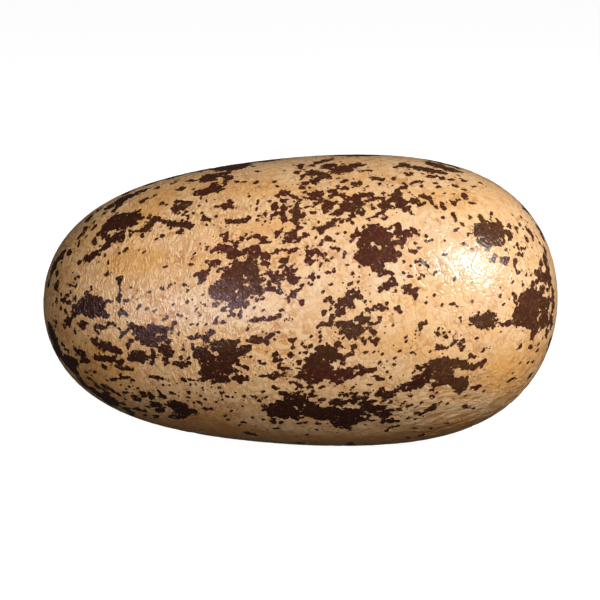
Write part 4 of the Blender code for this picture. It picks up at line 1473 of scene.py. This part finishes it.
    def pigments(self, sheet: Sheet, wrinkles: Value) -> bpy.types.NodeSocket:
        """The blotches' colour, from olive through chocolate to maroon: mottled, with painted shade in
        the furrows and where the blotches lie in shade.
        """
        place = sheet.place()
        mottle = sheet.noise(place, 3.2, detail=4.0, rough=0.65)
        shade = sheet.attribute("pigment") + (mottle - 0.5) * 0.6
        ramp = sheet.node("ShaderNodeValToRGB", {"stops": self.stops}, {0: shade})
        thin = sheet.noise(sheet.pushed(place, 1.8, 0.8), 0.9, detail=2.0, rough=0.6).step(0.48, 0.72)
        colour = sheet.mix(thin * 0.6, ramp.outputs[0], self.thin_paint)
        # Painted shade: the paint is darker in the wrinkles' furrows
        colour = sheet.mix(wrinkles.step(0.6, 0.05) * 0.5, colour, self.paint_furrow_shade)
        # Painted shade: the paint darkens as far as the blotch's depth says
        return sheet.mix(sheet.attribute("depth") * 0.75, colour, self.painted_shade_on_paint)

    def wrinkles(self, sheet: Sheet) -> Value:
        """Fine wrinkles: 0 in winding furrows and 1 on the rounded worms between them.

        They are drawn out steeply at the narrow end, and along the folds low down.
        """
        strokes, folded = sheet.attribute("strokes"), sheet.attribute("folded")
        bent = sheet.pushed(sheet.place(), 3.4, 1.7)
        winding = sheet.noise(bent, 2.2, detail=1.5, rough=0.5)
        lean = (0.0, math.radians(self.stroke_lean_deg), 0.0)
        turn = {"Vector": sheet.place(), "Rotation": lean, "Scale": (1.0, 0.55, 0.55)}
        leaning = sheet.node("ShaderNodeMapping", {}, turn).outputs[0]
        steep = sheet.noise(sheet.pushed(leaning, 2.6, 1.1), 1.05, detail=2.0, rough=0.5)
        drawn_out = sheet.pushed(sheet.place((0.3, 1.0, 1.0)), 4.0, 1.0)
        long = sheet.noise(drawn_out, 1.5, detail=2.0, rough=0.5)
        chosen = winding + strokes * 0.8 * (steep - winding)
        chosen = chosen + folded * (long - chosen)
        return abs(chosen - 0.5).step(0.0, 0.12) * 0.75 + chosen.step(0.3, 0.7) * 0.25

    def material(self) -> bpy.types.Material:
        """Makes the material.

        Returns:
            The shell's material.
        """
        sheet = Sheet("speckled_shell")
        place = sheet.place()
        fine = self.wrinkles(sheet)
        grain = sheet.noise(place, 0.7, detail=2.0)
        # How high the wrinkles stand; the ground and paint get painted shade in its low parts and
        # painted light on its high parts
        depth = fine * 0.6 + sheet.attribute("relief") * 0.4 + 0.1
        paint = self.paint_mask(sheet)
        colour = sheet.mix(paint, self.ground(sheet, depth), self.pigments(sheet, depth))
        smeared = (sheet.noise(place, 1.6, detail=3.0) - 0.5) * 0.12
        rough = self.varnish_roughness + smeared + paint * 0.12
        shaded = sheet.attribute("strokes") + sheet.attribute("folded")
        raised = fine * (0.7 + shaded * 0.5) + grain * 0.3
        height = raised * (1.0 - paint * 0.3) + paint * 0.35
        stands_out = {"Height": height, "Strength": 1.0, "Distance": self.bump_height_mm * MM}
        bump = sheet.node("ShaderNodeBump", {}, stands_out)
        fed = (
            ("Base Color", colour), ("Roughness", rough), ("Normal", bump.outputs[0]),
            ("IOR", self.refraction),
        )
        for name, source in fed:
            sheet.feed(sheet.shader.inputs[name], source)
        return sheet.material


@dataclass(frozen=True)
class Lamp:
    """A round soft light that shines on the egg from one side, and doesn't show in its gloss.

    The azimuth is counted from the camera towards the right of the photo.
    """

    name: str
    azimuth_deg: float
    elevation_deg: float
    size: float
    power: float
    colour: tuple[float, float, float]


@dataclass(frozen=True)
class Panel:
    """A round bright panel that only shows in the gloss, round one pixel of the photo."""

    name: str
    glint: tuple[float, float]
    size: float
    brightness: float
    colour: tuple[float, float, float]


@dataclass(frozen=True)
class Studio:
    """A pale floor and soft lights."""

    view: Viewpoint
    surface: Surface
    floor_radius: float = 4.0
    floor_drop: float = 0.0001
    distance: float = 1.1
    dimness: float = 0.025
    lamps: tuple[Lamp, ...] = (
        Lamp("key", 47.0, 37.0, 0.5, 10.6, (1.0, 0.97, 0.92)),
        Lamp("left_fill", -20.0, 17.0, 0.8, 4.0, (1.0, 0.92, 0.82)),
        Lamp("low_fill", 26.0, -2.0, 0.9, 3.5, (1.0, 0.92, 0.82)),
        Lamp("back_right", 106.0, 0.0, 0.7, 6.0, (1.0, 0.96, 0.91)),
        Lamp("back_left", -160.0, 4.0, 0.7, 3.4, (1.0, 0.96, 0.91)),
        Lamp("behind", 180.0, -6.0, 0.7, 3.4, (1.0, 0.96, 0.91)),
    )
    panels: tuple[Panel, ...] = (
        Panel("key_panel", (480, 266), 0.56, 8.0, (0.88, 0.94, 1.0)),
        Panel("key_core", (474, 264), 0.40, 17.0, (0.92, 0.97, 1.0)),
        Panel("left_panel", (165, 308), 0.65, 5.2, (0.78, 0.78, 1.0)),
    )

    def build(self) -> None:
        """Makes the floor, the lights and the surroundings."""
        for lamp in self.lamps:
            turn, lift = math.radians(lamp.azimuth_deg), math.radians(lamp.elevation_deg)
            level = math.cos(lift)
            direction = Vector((math.sin(turn) * level, -math.cos(turn) * level, math.sin(lift)))
            hung = self.hang(lamp, lamp.power, Vector(self.view.aim), direction)
            hung.visible_glossy = False
        for panel in self.panels:
            place, direction = self.surface.mirrored(self.view, panel.glint)
            area = math.pi * panel.size**2 / 4
            hung = self.hang(panel, panel.brightness * math.pi * area, Vector(place), Vector(direction))
            hung.visible_diffuse = False
        self.lay_floor()
        self.surround()

    def hang(
        self, light: Lamp | Panel, power: float, aim: Vector, direction: Vector
    ) -> bpy.types.Object:
        """Hangs a light in a direction from what it lights."""
        data = bpy.data.lights.new(light.name, "AREA")
        data.shape = "DISK"
        data.size = light.size
        data.energy = power
        data.color = light.colour
        hung = bpy.data.objects.new(light.name, data)
        hung.location = aim + direction * self.distance
        hung.rotation_mode = "QUATERNION"
        hung.rotation_quaternion = direction.to_track_quat("Z", "Y")
        hung.visible_camera = False
        bpy.context.scene.collection.objects.link(hung)
        return hung

    def lay_floor(self) -> None:
        """Makes the pale floor, a disc that lights nothing and mirrors nothing in the egg."""
        turn = np.linspace(0.0, 2 * math.pi, 96, endpoint=False)
        across, deep = self.floor_radius * np.cos(turn), self.floor_radius * np.sin(turn)
        rim = np.stack([across, deep, np.full_like(turn, -self.floor_drop)], axis=1)
        mesh = bpy.data.meshes.new("floor")
        mesh.from_pydata(rim.tolist(), [], [tuple(range(len(rim)))])
        floor = bpy.data.objects.new("floor", mesh)
        sheet = Sheet("pale_floor")
        fed = (
            ("Base Color", (0.3, 0.3, 0.3)), ("Roughness", 0.9), ("Specular IOR Level", 0.0),
            ("Emission Color", (1.0, 1.0, 1.0)), ("Emission Strength", 0.96),
        )
        for name, source in fed:
            sheet.feed(sheet.shader.inputs[name], source)
        mesh.materials.append(sheet.material)
        floor.visible_glossy = False
        floor.visible_diffuse = False
        bpy.context.scene.collection.objects.link(floor)

    def surround(self) -> None:
        """Lights the scene faintly from all round, and shows plain white behind it."""
        world = bpy.data.worlds.new("studio")
        world.use_nodes = True
        tree = world.node_tree
        tree.nodes.clear()
        shown = tree.nodes.new("ShaderNodeBackground")
        shown.inputs[0].default_value = (1.0, 1.0, 1.0, 1.0)
        shown.inputs[1].default_value = 1.0
        dim = tree.nodes.new("ShaderNodeBackground")
        dim.inputs[0].default_value = (1.0, 0.95, 0.9, 1.0)
        dim.inputs[1].default_value = self.dimness
        path = tree.nodes.new("ShaderNodeLightPath")
        mixed = tree.nodes.new("ShaderNodeMixShader")
        output = tree.nodes.new("ShaderNodeOutputWorld")
        tree.links.new(path.outputs["Is Camera Ray"], mixed.inputs[0])
        tree.links.new(dim.outputs[0], mixed.inputs[1])
        tree.links.new(shown.outputs[0], mixed.inputs[2])
        tree.links.new(mixed.outputs[0], output.inputs[0])
        bpy.context.scene.world = world
        bpy.context.scene.view_settings.view_transform = "Standard"


def main() -> None:
    """Builds and dresses the egg, then sets up the studio round it."""
    logging.basicConfig(level=logging.INFO, format="%(message)s")
    low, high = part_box("egg")
    below_middle = 0.0006
    view = Viewpoint(aim=(0.0, 0.0, (low.z + high.z) / 2 - below_middle))
    view.make_camera()
    egg = EggShell()
    surface, sheet = egg.surface()
    shell = egg.build(view, surface, sheet)
    egg.dress(shell)
    LOG.info("%s: %d points, %d faces", shell.name, len(shell.data.vertices), len(shell.data.polygons))
    Studio(view, surface).build()
    LOG.info("studio: floor and lights")


if __name__ == "__main__":
    main()
